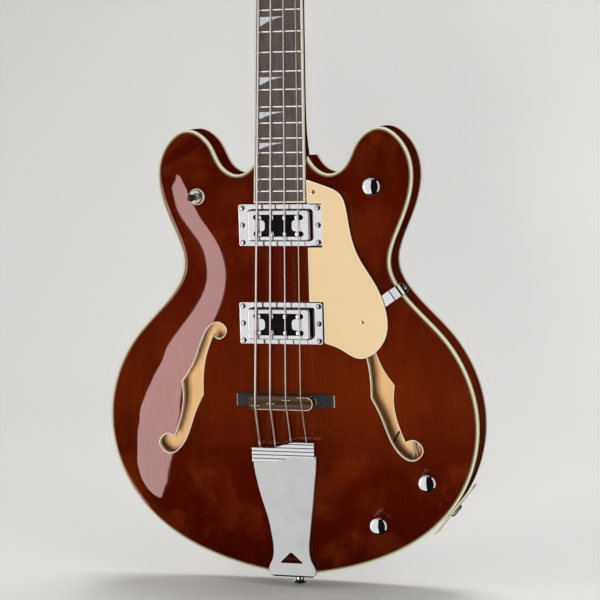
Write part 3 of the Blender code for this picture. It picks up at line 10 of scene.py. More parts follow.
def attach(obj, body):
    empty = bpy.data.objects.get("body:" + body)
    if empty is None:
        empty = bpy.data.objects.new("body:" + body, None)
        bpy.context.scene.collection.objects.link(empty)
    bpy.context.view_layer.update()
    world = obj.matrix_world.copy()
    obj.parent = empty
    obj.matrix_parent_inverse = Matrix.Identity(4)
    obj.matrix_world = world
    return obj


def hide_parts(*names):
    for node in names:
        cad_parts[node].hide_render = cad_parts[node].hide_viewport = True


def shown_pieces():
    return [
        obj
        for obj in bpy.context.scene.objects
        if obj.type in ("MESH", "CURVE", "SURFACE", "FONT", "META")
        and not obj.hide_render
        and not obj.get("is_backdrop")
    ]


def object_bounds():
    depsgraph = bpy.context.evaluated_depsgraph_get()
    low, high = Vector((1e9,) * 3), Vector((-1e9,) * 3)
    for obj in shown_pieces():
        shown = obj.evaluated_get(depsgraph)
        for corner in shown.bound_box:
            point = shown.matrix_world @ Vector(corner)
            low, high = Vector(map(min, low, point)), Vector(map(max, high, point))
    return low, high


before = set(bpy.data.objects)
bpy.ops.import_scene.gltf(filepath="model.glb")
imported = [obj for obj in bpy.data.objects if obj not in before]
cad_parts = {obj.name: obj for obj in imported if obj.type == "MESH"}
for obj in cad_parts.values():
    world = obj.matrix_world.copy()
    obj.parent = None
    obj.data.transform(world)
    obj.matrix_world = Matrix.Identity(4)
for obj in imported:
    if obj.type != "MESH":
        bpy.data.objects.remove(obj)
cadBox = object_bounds()
hangerPlace = np.array((0, 52.869, 1006.755))  # the model's origin, where a wall hanger holds the head
print("frame loaded:", len(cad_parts), "nodes")


# Shader maths: a wrapped socket takes part in plain sums

class Wire:
    def __init__(self, finish, socket):
        self.finish = finish
        self.socket = socket

    def sum(self, kind, *terms):
        return self.finish.add("ShaderNodeMath", {"operation": kind}, dict(enumerate(terms)))

    def __add__(self, other):
        return self.sum("ADD", self, other)

    def __radd__(self, other):
        return self.sum("ADD", other, self)

    def __sub__(self, other):
        return self.sum("SUBTRACT", self, other)

    def __rsub__(self, other):
        return self.sum("SUBTRACT", other, self)

    def __mul__(self, other):
        return self.sum("MULTIPLY", self, other)

    def __rmul__(self, other):
        return self.sum("MULTIPLY", other, self)

    def __truediv__(self, other):
        return self.sum("DIVIDE", self, other)

    def __rtruediv__(self, other):
        return self.sum("DIVIDE", other, self)

    def __pow__(self, other):
        return self.sum("POWER", self, other)

    def __rpow__(self, other):
        return self.sum("POWER", other, self)

    def sine(self):
        return self.sum("SINE", self)

    def step(self, low, high):  # 0 below low, 1 above high, smooth between
        settings = {"interpolation_type": "SMOOTHSTEP"}
        return self.finish.add("ShaderNodeMapRange", settings, {0: self, 1: low, 2: high})


class Finish:
    def __init__(self, name):
        self.material = bpy.data.materials.new(name)
        self.material.use_nodes = True
        self.tree = self.material.node_tree
        self.tree.nodes.clear()
        self.end = self.tree.nodes.new("ShaderNodeOutputMaterial")

    def add(self, kind, settings=None, sockets=None, output=0):
        node = self.tree.nodes.new(kind)
        for key, value in (settings or {}).items():
            setattr(node, key, value)
        for key, value in (sockets or {}).items():
            if isinstance(value, Wire):
                self.tree.links.new(value.socket, node.inputs[key])
            else:
                if isinstance(value, tuple) and node.inputs[key].type == "RGBA":
                    value = (*value, 1)
                node.inputs[key].default_value = value
        return Wire(self, node.outputs[output])

    def axis(self, which):  # where a point lies on the piece at rest, in metres
        spot = self.add("ShaderNodeTexCoord", output="Object")
        return self.add("ShaderNodeSeparateXYZ", {}, {0: spot}, which)

    def noise(self, scale, detail=3.0, rough=0.5, stretch=(1, 1, 1), twist=0.0):
        spot = self.add("ShaderNodeTexCoord", output="Object")
        place = self.add("ShaderNodeMapping", {}, {"Vector": spot, "Scale": stretch})
        sockets = {"Vector": place, "Scale": scale, "Detail": detail, "Roughness": rough, "Distortion": twist}
        return self.add("ShaderNodeTexNoise", {}, sockets, "Fac")

    def blend(self, amount, first, second):
        settings = {"data_type": "RGBA", "clamp_factor": True}
        return self.add("ShaderNodeMix", settings, {0: amount, 6: first, 7: second}, 2)

    def scaled(self, colour, amount):
        return self.add("ShaderNodeVectorMath", {"operation": "SCALE"}, {0: colour, "Scale": amount})

    def ramp(self, amount, table):
        ramp = self.add("ShaderNodeValToRGB", {}, {0: amount})
        stops = ramp.socket.node.color_ramp.elements
        while len(stops) < len(table):
            stops.new(1)
        for stop, (at, colour) in zip(stops, table):
            stop.position = at
            stop.color = (*colour, 1)
        return ramp

    def bump(self, height, strength=0.2, distance=0.0002):
        return self.add("ShaderNodeBump", {}, {"Strength": strength, "Distance": distance, "Height": height})

    def shade(self, **sockets):
        names = {key.replace("_", " "): value for key, value in sockets.items()}
        shader = self.add("ShaderNodeBsdfPrincipled", {}, names)
        self.tree.links.new(shader.socket, self.end.inputs[0])
        return self.material


# Finishes

lacquerLook = {
    "stainHeight": 0.480,  # metres
    "stain": [  # by the share of that height
        (0.0, (0.040, 0.0028, 0.0006)), (0.13, (0.060, 0.0036, 0.0007)), (0.25, (0.068, 0.0045, 0.0008)),
        (0.40, (0.104, 0.0115, 0.0012)), (0.52, (0.102, 0.0105, 0.0011)), (0.66, (0.084, 0.0064, 0.0008)),
        (0.84, (0.076, 0.0056, 0.0008)), (1.0, (0.055, 0.0034, 0.0006)),
    ],
    "patches": (0.128, 0.0165, 0.0016),  # the lighter clouds in the stain
    "warmth": (0.150, 0.020, 0.0018),  # of the wood beside the bridge
    "warmAt": (0.075, 0.205), "warmSize": (0.0110, 0.0046),  # in metres and in square metres
    "mottle": 0.34, "gloss": 0.03, "glint": 0.5,
}


def walnutLacquer(name="walnutLacquer", depth=1.0, sheer=True):
    look = lacquerLook
    finish = Finish(name)
    low = float(hangerPlace[2]) * 0.001  # how far the body's lower end lies under the model's origin
    stain = finish.ramp((finish.axis(2) + low) / look["stainHeight"], look["stain"])
    if sheer:
        aside = finish.axis(0) - look["warmAt"][0]
        above = finish.axis(2) + low - look["warmAt"][1]
        away = (aside * aside / look["warmSize"][0] + above * above / look["warmSize"][1]) ** 0.5
        stain = finish.blend((1 - away.step(0.1, 1.25)) * 0.55, stain, look["warmth"])
    cloud = finish.noise(34, 4, 0.55, (1, 1, 0.42), 0.35)
    fibre = finish.noise(330, 3, 0.6, (1, 1, 0.035))
    spark = finish.noise(120, 2, 0.5, (1, 1, 0.5), 0.6)
    patch = finish.noise(17, 5, 0.62, (1, 1, 0.8), 0.8)
    stain = finish.blend(patch.step(0.46, 0.70) * 0.75, stain, look["patches"])
    tone = 1 + (cloud - 0.5) * (2.6 * look["mottle"]) + (fibre - 0.5) * 0.30 + (spark - 0.5) * 0.16
    shown = finish.scaled(stain, tone * depth)
    wave = finish.noise(9, 2, 0.5)
    smear = finish.noise(70, 4, 0.6, (1, 1, 0.5))
    return finish.shade(Base_Color=shown, Roughness=look["gloss"] + smear.step(0.45, 0.9) * 0.03,
                        Specular_IOR_Level=look["glint"], Normal=finish.bump(wave, 0.05, 0.0012))


def paleWood(name, light, dark):
    finish = Finish(name)
    ring = finish.noise(60, 4, 0.6, (1, 1, 0.05), 0.4)
    fibre = finish.noise(700, 3, 0.65, (1, 1, 0.03))
    tone = ring.step(0.3, 0.72) * 0.65 + fibre.step(0.35, 0.75) * 0.35
    return finish.shade(Base_Color=finish.blend(tone, light, dark), Roughness=0.55 + fibre * 0.2,
                        Specular_IOR_Level=0.3, Normal=finish.bump(fibre, 0.35, 0.0003))


def rosewoodFinish(name, light, dark, gloss=0.42, glint=0.35, lay=(1, 1, 0.05)):
    finish = Finish(name)
    pore = finish.noise(900, 3, 0.6, lay)
    streak = finish.noise(150, 4, 0.6, lay, 0.5)
    tone = streak.step(0.32, 0.7) * 0.6 + pore.step(0.4, 0.7) * 0.4
    shown = finish.blend(tone, light, dark)
    return finish.shade(Base_Color=shown, Roughness=gloss + pore.step(0.5, 0.75) * 0.25,
                        Specular_IOR_Level=glint, Normal=finish.bump(pore.step(0.42, 0.62), 0.5, 0.0002))


def plastic(name, colour, gloss=0.2, speck=0.05, glint=0.4, ripple=0.03):
    finish = Finish(name)
    cloud = finish.noise(40, 3, 0.5)
    grain = finish.noise(900, 2, 0.5)
    shown = finish.scaled(colour, 1 + (cloud - 0.5) * speck * 2 + (grain - 0.5) * speck)
    rub = finish.noise(140, 3, 0.6)
    return finish.shade(Base_Color=shown, Roughness=gloss + rub.step(0.5, 0.8) * 0.06,
                        Specular_IOR_Level=glint, Normal=finish.bump(cloud, ripple, 0.0006))


def metal(name, colour, gloss, brushed=0.0):
    finish = Finish(name)
    cloud = finish.noise(55, 3, 0.5)
    hair = finish.noise(1400, 2, 0.5)
    shown = finish.blend(cloud.step(0.35, 0.75) * 0.5, colour, tuple(part * 0.93 for part in colour))
    return finish.shade(Base_Color=shown, Metallic=1.0,
                        Roughness=gloss + cloud.step(0.4, 0.8) * 0.04 + hair * brushed,
                        Normal=finish.bump(hair, 0.05 + brushed, 0.00005))


def pearl():
    finish = Finish("pearl")
    swirl = finish.noise(180, 5, 0.6, (1, 1, 0.6), 2.2)
    sheet = finish.noise(420, 2, 0.5, (1, 1, 0.3), 1.2)
    shown = finish.blend(swirl.step(0.35, 0.68), (0.72, 0.74, 0.80), (0.50, 0.53, 0.60))
    shown = finish.blend(sheet.step(0.5, 0.8) * 0.5, shown, (0.80, 0.76, 0.78))
    return finish.shade(Base_Color=shown, Roughness=0.18 + sheet * 0.1, Specular_IOR_Level=0.6,
                        Normal=finish.bump(swirl, 0.1, 0.0003))


def woundSteel(name, pitch, colour):  # a wrap of round wire, shown by the length along the string
    finish = Finish(name)
    along = finish.add("ShaderNodeAttribute", {"attribute_name": "along"}, {}, "Fac")
    wrap = (along * (2 * math.pi / pitch)).sine()
    crown = wrap.step(-1.0, 0.9)
    tarnish = finish.noise(60, 3, 0.6)
    # the valleys between the wraps are coloured darker: painted shade between the windings
    shown = finish.blend(crown, tuple(part * 0.55 for part in colour), colour)
    shown = finish.blend(tarnish.step(0.5, 0.8) * 0.4, shown, tuple(part * 0.8 for part in colour))
    return finish.shade(Base_Color=shown, Metallic=1.0, Roughness=0.24 + tarnish * 0.12,
                        Normal=finish.bump(crown, 0.6, 0.00012))


finishes = {
    "lacquer": walnutLacquer(),
    "rimLacquer": walnutLacquer("rimLacquer", 1.15, False),
    "neckLacquer": walnutLacquer("neckLacquer", 0.85, False),
    "pearl": pearl(),
}
for name, *look in (  # light and dark colour
        ("insideWood", (0.92, 0.60, 0.30), (0.80, 0.46, 0.20)),
        ("blockWood", (0.72, 0.52, 0.30), (0.58, 0.38, 0.19))):
    finishes[name] = paleWood(name, *look)
for name, *look in (  # light and dark colour, roughness, glint, stretch of the grain
        ("rosewood", (0.130, 0.108, 0.094), (0.068, 0.054, 0.048)),
        ("saddleWood", (0.026, 0.012, 0.008), (0.150, 0.090, 0.056), 0.3, 0.08, (0.035, 1, 1.6)),
        ("ebony", (0.034, 0.038, 0.036), (0.018, 0.020, 0.019), 0.34, 0.1)):
    finishes[name] = rosewoodFinish(name, *look)
for name, *look in (  # colour, roughness, speckle, glint, ripple
        ("creamBinding", (0.74, 0.68, 0.50), 0.22),
        ("boardBinding", (0.74, 0.70, 0.58), 0.25),
        # this pale colour is the back binding, and also the painted highlight line on the bridge block's edge
        ("backBinding", (0.74, 0.60, 0.50), 0.22),
        ("plyLine", (0.205, 0.172, 0.092), 0.3),
        # this dark colour is the binding's dark ply and the board's side dots, and also painted shade in
        # screw recesses, slots, the tailpiece's rib grooves and round the ring screws
        ("darkMarksAndPaintedShade", (0.012, 0.008, 0.006), 0.35),
        ("guardCream", (0.79, 0.60, 0.345), 0.12, 0.02, 0.3, 0.04),
        # a lighter copy of the guard's cream for its bevel: painted highlight
        ("guardEdgeHighlight", (0.90, 0.80, 0.62), 0.12, 0.02, 0.3, 0.04),
        ("blackPlastic", (0.011, 0.011, 0.012), 0.22, 0.12),
        ("coilBlack", (0.005, 0.005, 0.0055), 0.35, 0.12, 0.05),
        ("creamWasher", (0.72, 0.68, 0.56), 0.25),
        ("bone", (0.76, 0.72, 0.60), 0.3, 0.08),
        ("whiteWire", (0.72, 0.72, 0.68), 0.35, 0.04),
        ("blueWire", (0.03, 0.10, 0.36), 0.35, 0.04),
        ("redWire", (0.45, 0.03, 0.02), 0.35, 0.04)):
    finishes[name] = plastic(name, *look)
metalLook = {  # colour, roughness, how brushed
    "chrome": ((0.86, 0.86, 0.87), 0.035),
    "satinChrome": ((0.68, 0.68, 0.68), 0.16, 0.02),
    "nickel": ((0.80, 0.77, 0.70), 0.14, 0.02),
    "steel": ((0.60, 0.59, 0.57), 0.22, 0.05),
    "brass": ((0.72, 0.52, 0.25), 0.22, 0.04),
}
for name, look in metalLook.items():
    finishes[name] = metal(name, *look)
finishes["fretWire"] = metal("fretWire", (0.80, 0.78, 0.72), 0.16, 0.03)
wireLook = {  # pitch of the wrap in metres, colour
    "stringE": (0.00062, (0.90, 0.86, 0.84)), "stringA": (0.00055, (0.90, 0.86, 0.84)),
    "stringD": (0.00048, (0.91, 0.87, 0.85)), "stringG": (0.00042, (0.92, 0.88, 0.86)),
}
for name, look in wireLook.items():
    finishes[name] = woundSteel(name, *look)
print("finishes made:", len(finishes))


# Curves and outlines

def smooth(share):  # 0 to 1, level at both ends
    return share * share * (3 - 2 * share)


def splineThrough(knots, start=None, end=None, perSpan=16):
    knots = np.array(knots, float)
    steps = np.linalg.norm(np.diff(knots, axis=0), axis=1)
    slopes = np.diff(knots, axis=0) / steps[:, None]
    count = len(knots)
    system = np.zeros((count, count))
    sides = np.zeros_like(knots)
    for i in range(1, count - 1):
        system[i, i - 1:i + 2] = steps[i - 1], 2 * (steps[i - 1] + steps[i]), steps[i]
        sides[i] = 6 * (slopes[i] - slopes[i - 1])
    system[0, 0] = system[-1, -1] = 1
    if start is not None:
        system[0, :2] = 2 * steps[0], steps[0]
        sides[0] = 6 * (slopes[0] - np.array(start, float))
    if end is not None:
        system[-1, -2:] = steps[-1], 2 * steps[-1]
        sides[-1] = 6 * (np.array(end, float) - slopes[-1])
    bends = np.linalg.solve(system, sides)
    points = []
    for i, step in enumerate(steps):
        for b in np.arange(perSpan) / perSpan:
            a = 1 - b
            curve = (a ** 3 - a) * bends[i] + (b ** 3 - b) * bends[i + 1]
            points.append(a * knots[i] + b * knots[i + 1] + step ** 2 / 6 * curve)
    points.append(knots[-1])
    return np.array(points)


def mirrorHalf(half):
    return np.vstack([half, half[::-1][:-1] * (-1, 1)])


def insetLoop(loop, distance):  # inwards, for a loop that runs anticlockwise
    ahead = np.roll(loop, -1, axis=0) - loop
    ahead /= np.linalg.norm(ahead, axis=1)[:, None]
    behind = np.roll(ahead, 1, axis=0)
    normal = np.stack([-(ahead + behind)[:, 1], (ahead + behind)[:, 0]], axis=1)
    normal /= np.linalg.norm(normal, axis=1)[:, None]
    share = np.clip(-normal[:, 0] * ahead[:, 1] + normal[:, 1] * ahead[:, 0], 0.35, 1)
    return loop + normal * (distance / share)[:, None]


def circleLoop(x, z, radius, count=20):
    angles = np.arange(count) * 2 * math.pi / count
    return np.stack([x + radius * np.cos(angles), z + radius * np.sin(angles)], axis=1)


def roundedBox(width, height, radius, steps=6, longest=1000.0):
    corners = []
    for i, (sx, sz) in enumerate(((1, 1), (-1, 1), (-1, -1), (1, -1))):
        centre = np.array((sx * (width / 2 - radius), sz * (height / 2 - radius)))
        for step in range(steps + 1):
            angle = math.pi / 2 * (i + step / steps)
            corners.append(centre + radius * np.array((math.cos(angle), math.sin(angle))))
    points = []
    for here, there in zip(corners, corners[1:] + corners[:1]):
        runs = max(1, math.ceil(np.linalg.norm(there - here) / longest))
        points += [here + (there - here) * run / runs for run in range(runs)]
    return np.array(points)


def boxPlan(halfX, halfY):
    return [(-halfX, -halfY), (halfX, -halfY), (halfX, halfY), (-halfX, halfY)]


def loopHolds(points, loop):  # which of the points the loop goes round
    x, z = np.atleast_2d(points).T
    found = np.zeros(len(x), bool)
    for (ax, az), (bx, bz) in zip(loop, np.roll(loop, -1, axis=0)):
        if az != bz:
            crosses = (az > z) != (bz > z)
            found ^= crosses & (ax + (z - az) * (bx - ax) / (bz - az) > x)
    return found


bodyLook = {
    "half": [(0, 0), (62, 9), (118, 29.5), (164, 61.3), (196, 106), (210, 171), (203, 213), (177, 262),
             (138.6, 302.8), (117, 342), (127, 380), (142.5, 427), (134.4, 471), (107.5, 489.5), (82, 473),
             (68.5, 448.5), (52, 440.2), (36, 447.5), (28, 459)],
    "rimDepth": 44, "rimWall": 6, "plate": 5, "topArch": 10.5, "backArch": 9, "archRun": 115,
    "frontBinding": 3.9, "creamWidth": 1.9, "darkWidth": 0.45, "edgeRound": 1.3,
    "backBinding": 2.0, "backSide": 6.5,
    "edgeSlope": (1.3, 0.0, 250, 350),  # how much steeper the lacquer looks near the edge, low and high up
    "potHole": 5.0, "toggleHole": 6.2,
    "fHoleEdging": [(-0.1, 0, 0), (0.05, 0.15, 0), (0.8, 0.15, 0), (0.95, 0, 0), (0.95, 0, 5), (-0.1, 0, 5)],
}
fHoleRuns = (
    [(82.5, 265), (75.3, 261.4), (66.1, 270.8), (75.3, 280.2), (85.5, 277.3), (95, 264.7),
     (102, 247.2), (109, 231.5), (121, 214.2)],
    [(121, 214.2), (119.8, 197), (122.8, 177.8), (131.6, 153)],
    [(131.6, 153), (139.8, 155.4), (150.7, 144), (139.3, 132.2), (125.5, 138.8),
     (114.6, 155.5), (105, 180.5), (95.2, 199.9)],
    [(95.2, 199.9), (94.9, 214), (91.3, 241), (82.5, 265)],
)
bodyCurve = splineThrough(bodyLook["half"], start=(1, 0), perSpan=14)
bodyLoop = mirrorHalf(bodyCurve)


def edgePoints():
    loop = mirrorHalf(splineThrough(bodyLook["half"], start=(1, 0)))
    ends = np.roll(loop, -1, axis=0)
    along = (np.arange(6) + 0.5) / 6
    points = (loop[:, None] + (ends - loop)[:, None] * along[None, :, None]).reshape(-1, 2)
    return points, np.repeat(np.linalg.norm(ends - loop, axis=1) / 6, 6)


edgeSpots, edgeLengths = edgePoints()


def archAt(x, z, shading=False):  # the arch's share, 0 at the edge and 1 in the middle, and its two slopes
    x, z = np.atleast_1d(np.asarray(x, float)), np.atleast_1d(np.asarray(z, float))
    share, slopeX, slopeZ = np.zeros(len(x)), np.zeros(len(x)), np.zeros(len(x))
    for begin in range(0, len(x), 1500):
        part = slice(begin, begin + 1500)
        dx = x[part, None] - edgeSpots[None, :, 0]
        dz = z[part, None] - edgeSpots[None, :, 1]
        square = np.maximum(dx * dx + dz * dz, 0.25)
        cubed = edgeLengths / (square * np.sqrt(square))
        total = cubed.sum(axis=1)
        fifth = cubed / square
        away = np.sqrt(2 / total)
        bend = 1.5 * away / total
        run = np.clip((away - 0.5) / bodyLook["archRun"], 0, 1)
        share[part] = 1 - (1 - run ** 1.35) ** 2
        rise = 2.7 * (1 - run ** 1.35) * run ** 0.35
        if shading:
            near = np.clip(1 - run / 0.35, 0, 1)
            first = np.clip(run / 0.05, 0, 1)
            lower, upper, start, end = bodyLook["edgeSlope"]
            more = lower + (upper - lower) * smooth(np.clip((z[part] - start) / (end - start), 0, 1))
            rise = np.where(run < 0.35, 1.417 * (1 + more * near) * smooth(first), rise)
        rise /= bodyLook["archRun"]
        slopeX[part] = rise * bend * (fifth * dx).sum(axis=1)
        slopeZ[part] = rise * bend * (fifth * dz).sum(axis=1)
    return share, slopeX, slopeZ


def topDepth(x, z):
    found = -bodyLook["topArch"] * archAt(x, z)[0]
    return found if np.ndim(x) else float(found[0])


def backDepth(x, z):
    return bodyLook["rimDepth"] + bodyLook["backArch"] * float(archAt(x, z)[0][0])


def fHoleLoop(side, perSpan=9):
    loop = np.vstack([splineThrough(run, perSpan=perSpan)[:-1] for run in fHoleRuns])
    after = np.roll(loop, -1, axis=0)
    area = (loop[:, 0] * after[:, 1] - loop[:, 1] * after[:, 0]).sum()
    loop = loop if area > 0 else loop[::-1]
    return loop if side > 0 else loop[::-1] * (-1, 1)


# Meshes

def shift(x, y, z):
    return Matrix.Translation((x, y, z))


def spin(degrees, axis):
    return Matrix.Rotation(math.radians(degrees), 4, axis)


def facingFront(x, y, z):  # a piece made along its own z then points to the front, from that place
    return shift(x, y, z) @ spin(90, "X")


def inModel(points):
    return (np.asarray(points, float) - hangerPlace) * 0.001


def linked(name, data):
    obj = bpy.data.objects.new(name, data)
    bpy.context.scene.collection.objects.link(obj)
    return obj


def laid(loop, depth):  # a loop of the front view, at one depth or at one for each point
    return [(x, y, z) for (x, z), y in zip(loop, np.broadcast_to(depth, len(loop)))]


def lifted(plan, level):  # a plan in x and y, at one level
    return [(x, y, level) for x, y in plan]


def newPiece(name, verts, faces, finish, body, stands, slots, sharp=32.0, normals=None):
    mesh = bpy.data.meshes.new(name)
    mesh.from_pydata(inModel(verts).tolist(), [], [tuple(int(i) for i in face) for face in faces])
    for each in [finish] if isinstance(finish, str) else finish:
        mesh.materials.append(finishes[each])
    if normals is None:
        bm = bmesh.new()
        bm.from_mesh(mesh)
        for face, slot in zip(bm.faces, slots):
            face.material_index = int(slot)
        bmesh.ops.remove_doubles(bm, verts=bm.verts, dist=2e-7)
        bmesh.ops.recalc_face_normals(bm, faces=bm.faces)
        bm.to_mesh(mesh)
        bm.free()
        mesh.shade_smooth()
        mesh.set_sharp_from_angle(angle=math.radians(sharp))
    else:
        mesh.polygons.foreach_set("material_index", np.asarray(slots, np.int32))
        mesh.shade_smooth()
        mesh.normals_split_custom_set([tuple(n) for n in normals])
    piece = linked(name, mesh)
    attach(piece, body)
    if stands:
        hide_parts(stands)
    return piece


class Shape:  # verts and faces that grow piece by piece before they become one object
    def __init__(self):
        self.verts = []
        self.faces = []
        self.slots = []

    def loft(self, rings, closed=False, slot=0, matrix=None, bands=None):
        start, count, last = len(self.verts), len(rings[0]), len(rings) - 1
        verts = [v for ring in rings for v in ring]
        if matrix is not None:
            verts = [matrix @ Vector(v) for v in verts]
        self.verts += [tuple(v) for v in verts]
        pairs = [(i, i + 1) for i in range(last)] + ([(last, 0)] if closed else [])
        bands = [slot] * len(pairs) if bands is None else bands
        for band, (a, b) in zip(bands, pairs):
            a, b = start + a * count, start + b * count
            for i in range(count):
                j = (i + 1) % count
                self.faces.append((a + i, a + j, b + j, b + i))
                self.slots.append(band)
        if not closed:
            ends = (start, start + count), (start + last * count, len(self.verts))
            self.faces += [tuple(range(*end)) for end in ends]
            self.slots += [bands[0], bands[-1]]
        return self

    def slab(self, loop, front, back):
        return self.loft([laid(loop, y) for y in (front, back)])

    def prism(self, plan, levels, slot=0, matrix=None):
        return self.loft([lifted(plan, level) for level in levels], slot=slot, matrix=matrix)

    def cushion(self, loop, front, back, edge, matrix=None, steps=3):  # a slab with rounded front edges
        rings = []
        for step in range(steps + 1):
            angle = math.pi / 2 * step / steps
            ring = insetLoop(loop, edge * (1 - math.sin(angle)))
            rings.append(laid(ring, front + edge * (1 - math.cos(angle))))
        rings.append(laid(loop, back))
        return self.loft(rings, matrix=matrix)

    def turned(self, profile, count=32, slot=0, matrix=None, closed=False, squeeze=None, bands=None):
        rings = []
        for radius, height in profile:
            angles = [2 * math.pi * i / count for i in range(count)]
            ring = [(radius * math.cos(angle), radius * math.sin(angle), height) for angle in angles]
            rings.append([squeeze(*spot) for spot in ring] if squeeze else ring)
        return self.loft(rings, closed, slot, matrix, bands)

    def tube(self, points, radius, sides, slot=0):  # returns how far along each vertex lies, in metres
        points = np.array([tuple(p) for p in points], float)
        ahead = np.gradient(points, axis=0)
        ahead /= np.linalg.norm(ahead, axis=1)[:, None]
        side = np.cross(ahead[0], (0.3, 1, 0.2))
        side /= np.linalg.norm(side)
        rings, along, run = [], [], 0.0
        for i, (point, way) in enumerate(zip(points, ahead)):
            side = side - way * (side @ way)
            side /= np.linalg.norm(side)
            other = np.cross(way, side)
            if i:
                run += np.linalg.norm(point - points[i - 1])
            angles = np.arange(sides) * 2 * math.pi / sides
            wide = radius if np.isscalar(radius) else radius[i]
            rings.append([point + wide * (math.cos(a) * side + math.sin(a) * other) for a in angles])
            along += [run * 0.001] * sides
        self.loft(rings, slot=slot)
        return along

    def make(self, name, finish, body="guitar", stands=None, sharp=32.0):
        # A piece that rides on a moving body stands for that body
        stands = body if stands is None and body != "guitar" else stands
        return newPiece(name, self.verts, self.faces, finish, body, stands, self.slots, sharp)


def soften(piece, width, steps=2, angle=35):
    bevel = piece.modifiers.new("edges", "BEVEL")
    bevel.width = width * 0.001
    bevel.segments = steps
    bevel.limit_method = "ANGLE"
    bevel.angle_limit = math.radians(angle)
    bevel.harden_normals = True
    return piece


def flatFaces(piece):  # broad faces keep one reflection, right up to their rounded edges
    even = piece.modifiers.new("flatFaces", "WEIGHTED_NORMAL")
    even.keep_sharp = True
    even.weight = 100


def carve(piece, cutters):  # cuts are made once and kept in the mesh
    helpers = []
    for shape in cutters:
        mesh = bpy.data.meshes.new("cutter")
        mesh.from_pydata(inModel(shape.verts).tolist(), [], shape.faces)
        bm = bmesh.new()
        bm.from_mesh(mesh)
        bmesh.ops.recalc_face_normals(bm, faces=bm.faces)
        bm.to_mesh(mesh)
        bm.free()
        cut = piece.modifiers.new("cut", "BOOLEAN")
        cut.operation = "DIFFERENCE"
        cut.object = linked("cutter", mesh)
        cut.solver = "EXACT"
        helpers.append(cut.object)
    bpy.context.view_layer.update()
    shown = piece.evaluated_get(bpy.context.evaluated_depsgraph_get())
    result = bpy.data.meshes.new_from_object(shown)
    piece.modifiers.clear()
    old = piece.data
    piece.data = result
    bpy.data.meshes.remove(old)
    for helper in helpers:
        mesh = helper.data
        bpy.data.objects.remove(helper)
        bpy.data.meshes.remove(mesh)
    result.set_sharp_from_angle(angle=math.radians(32))


def dress(finish, *nodes):
    for node in nodes:
        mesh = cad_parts[node].data
        if len(mesh.materials):
            mesh.materials[0] = finishes[finish]
        else:
            mesh.materials.append(finishes[finish])


def screwHead(shape, matrix, radius, height, slot=0, shadeSlot=1, cross=True, turn=0.4):
    # A domed head with its recess drawn as two thin dark bars of painted shade, sunk level with the dome
    dome = [(radius, -0.6), (radius, 0.25 * height), (radius * 0.93, 0.55 * height),
            (radius * 0.72, 0.82 * height), (radius * 0.4, 0.97 * height), (radius * 0.05, height)]
    shape.turned(dome, 20, slot, matrix)
    for angle in (turn, turn + math.pi / 2) if cross else (turn,):
        bar = boxPlan(radius * (0.58 if cross else 0.92), radius * 0.13)
        levels = (height * 0.35, height * (1.03 if cross else 1.0))
        shape.prism(bar, levels, shadeSlot, matrix @ Matrix.Rotation(angle, 4, "Z"))


# Camera, and the two leads inside the body

cameraLook = {
    "place": (0.651176, -2.095570, -0.447124), "lens": 119.688,
    "right": (0.95549622, 0.29369920, -0.02770847), "up": (-0.00853546, 0.12141019, 0.99256572),
    "back": (0.29487985, -0.94815629, 0.11851383),
}


def makeCamera():
    look = cameraLook
    data = bpy.data.cameras.new("photoCamera")
    data.lens = look["lens"]
    data.sensor_width = 36
    data.clip_start, data.clip_end = 0.05, 50
    camera = linked("photoCamera", data)
    turn = Matrix((look["right"], look["up"], look["back"])).transposed().to_4x4()
    camera.matrix_world = Matrix.Translation(look["place"]) @ turn
    bpy.context.scene.camera = camera


leadLook = {
    "thick": 1.6,
    "routes": (
        ("whiteLead", "whiteWire", "white_lead", [
            (156, 9, 124.5), (152, 20, 120), (141, 27, 116), (133.8, 25, 126), (132.8, 23, 148),
            (129, 28, 175), (124, 29, 215), (116, 28, 270), (106, 26, 330), (101, 20, 385),
            (103.5, 10, 414.4)]),
        ("blueLead", "blueWire", "blue_lead", [
            (160.5, 9, 124.2), (156, 21, 122), (146, 27, 123), (140, 25, 131), (136, 24, 145), (127, 31, 170),
            (119, 32, 215), (111, 31, 270), (101, 29, 330), (96, 23, 385), (99.5, 10, 415.0)]),
    ),
    "tie": [(131, 29.5, 172), (126, 27, 166), (117, 24.5, 158), (109.5, 24, 142)], "tieRadius": 0.9,
    "sleeve": (136, 142, 131, 138), "sleeveRadius": 1.25,  # the stretch of the blue lead, by x and by z
}


def makeLeads():
    for name, finish, node, route in leadLook["routes"]:
        points = splineThrough(route, perSpan=10)
        shape = Shape()
        shape.tube(points, leadLook["thick"] / 2, 12)
        lead = shape.make(name, finish, stands=node, sharp=60)
        path = inModel(points)
        length = float(np.linalg.norm(np.diff(path, axis=0), axis=1).sum())
        print(name, "length", round(length, 4))
    left, right, low, high = leadLook["sleeve"]  # on the last route, the blue lead's
    sleeve = Shape()
    stretch = [p for p in points if left < p[0] < right and low <= p[2] <= high]
    sleeve.tube(stretch, leadLook["sleeveRadius"], 16)
    sleeve.make("leadSleeve", "redWire", sharp=40)
    tie = Shape()
    tie.tube(splineThrough(leadLook["tie"], perSpan=8), leadLook["tieRadius"], 10)
    tie.make("leadTie", "blackPlastic", sharp=50)


makeCamera()
makeLeads()


# Body: arched top and back, sides, bindings

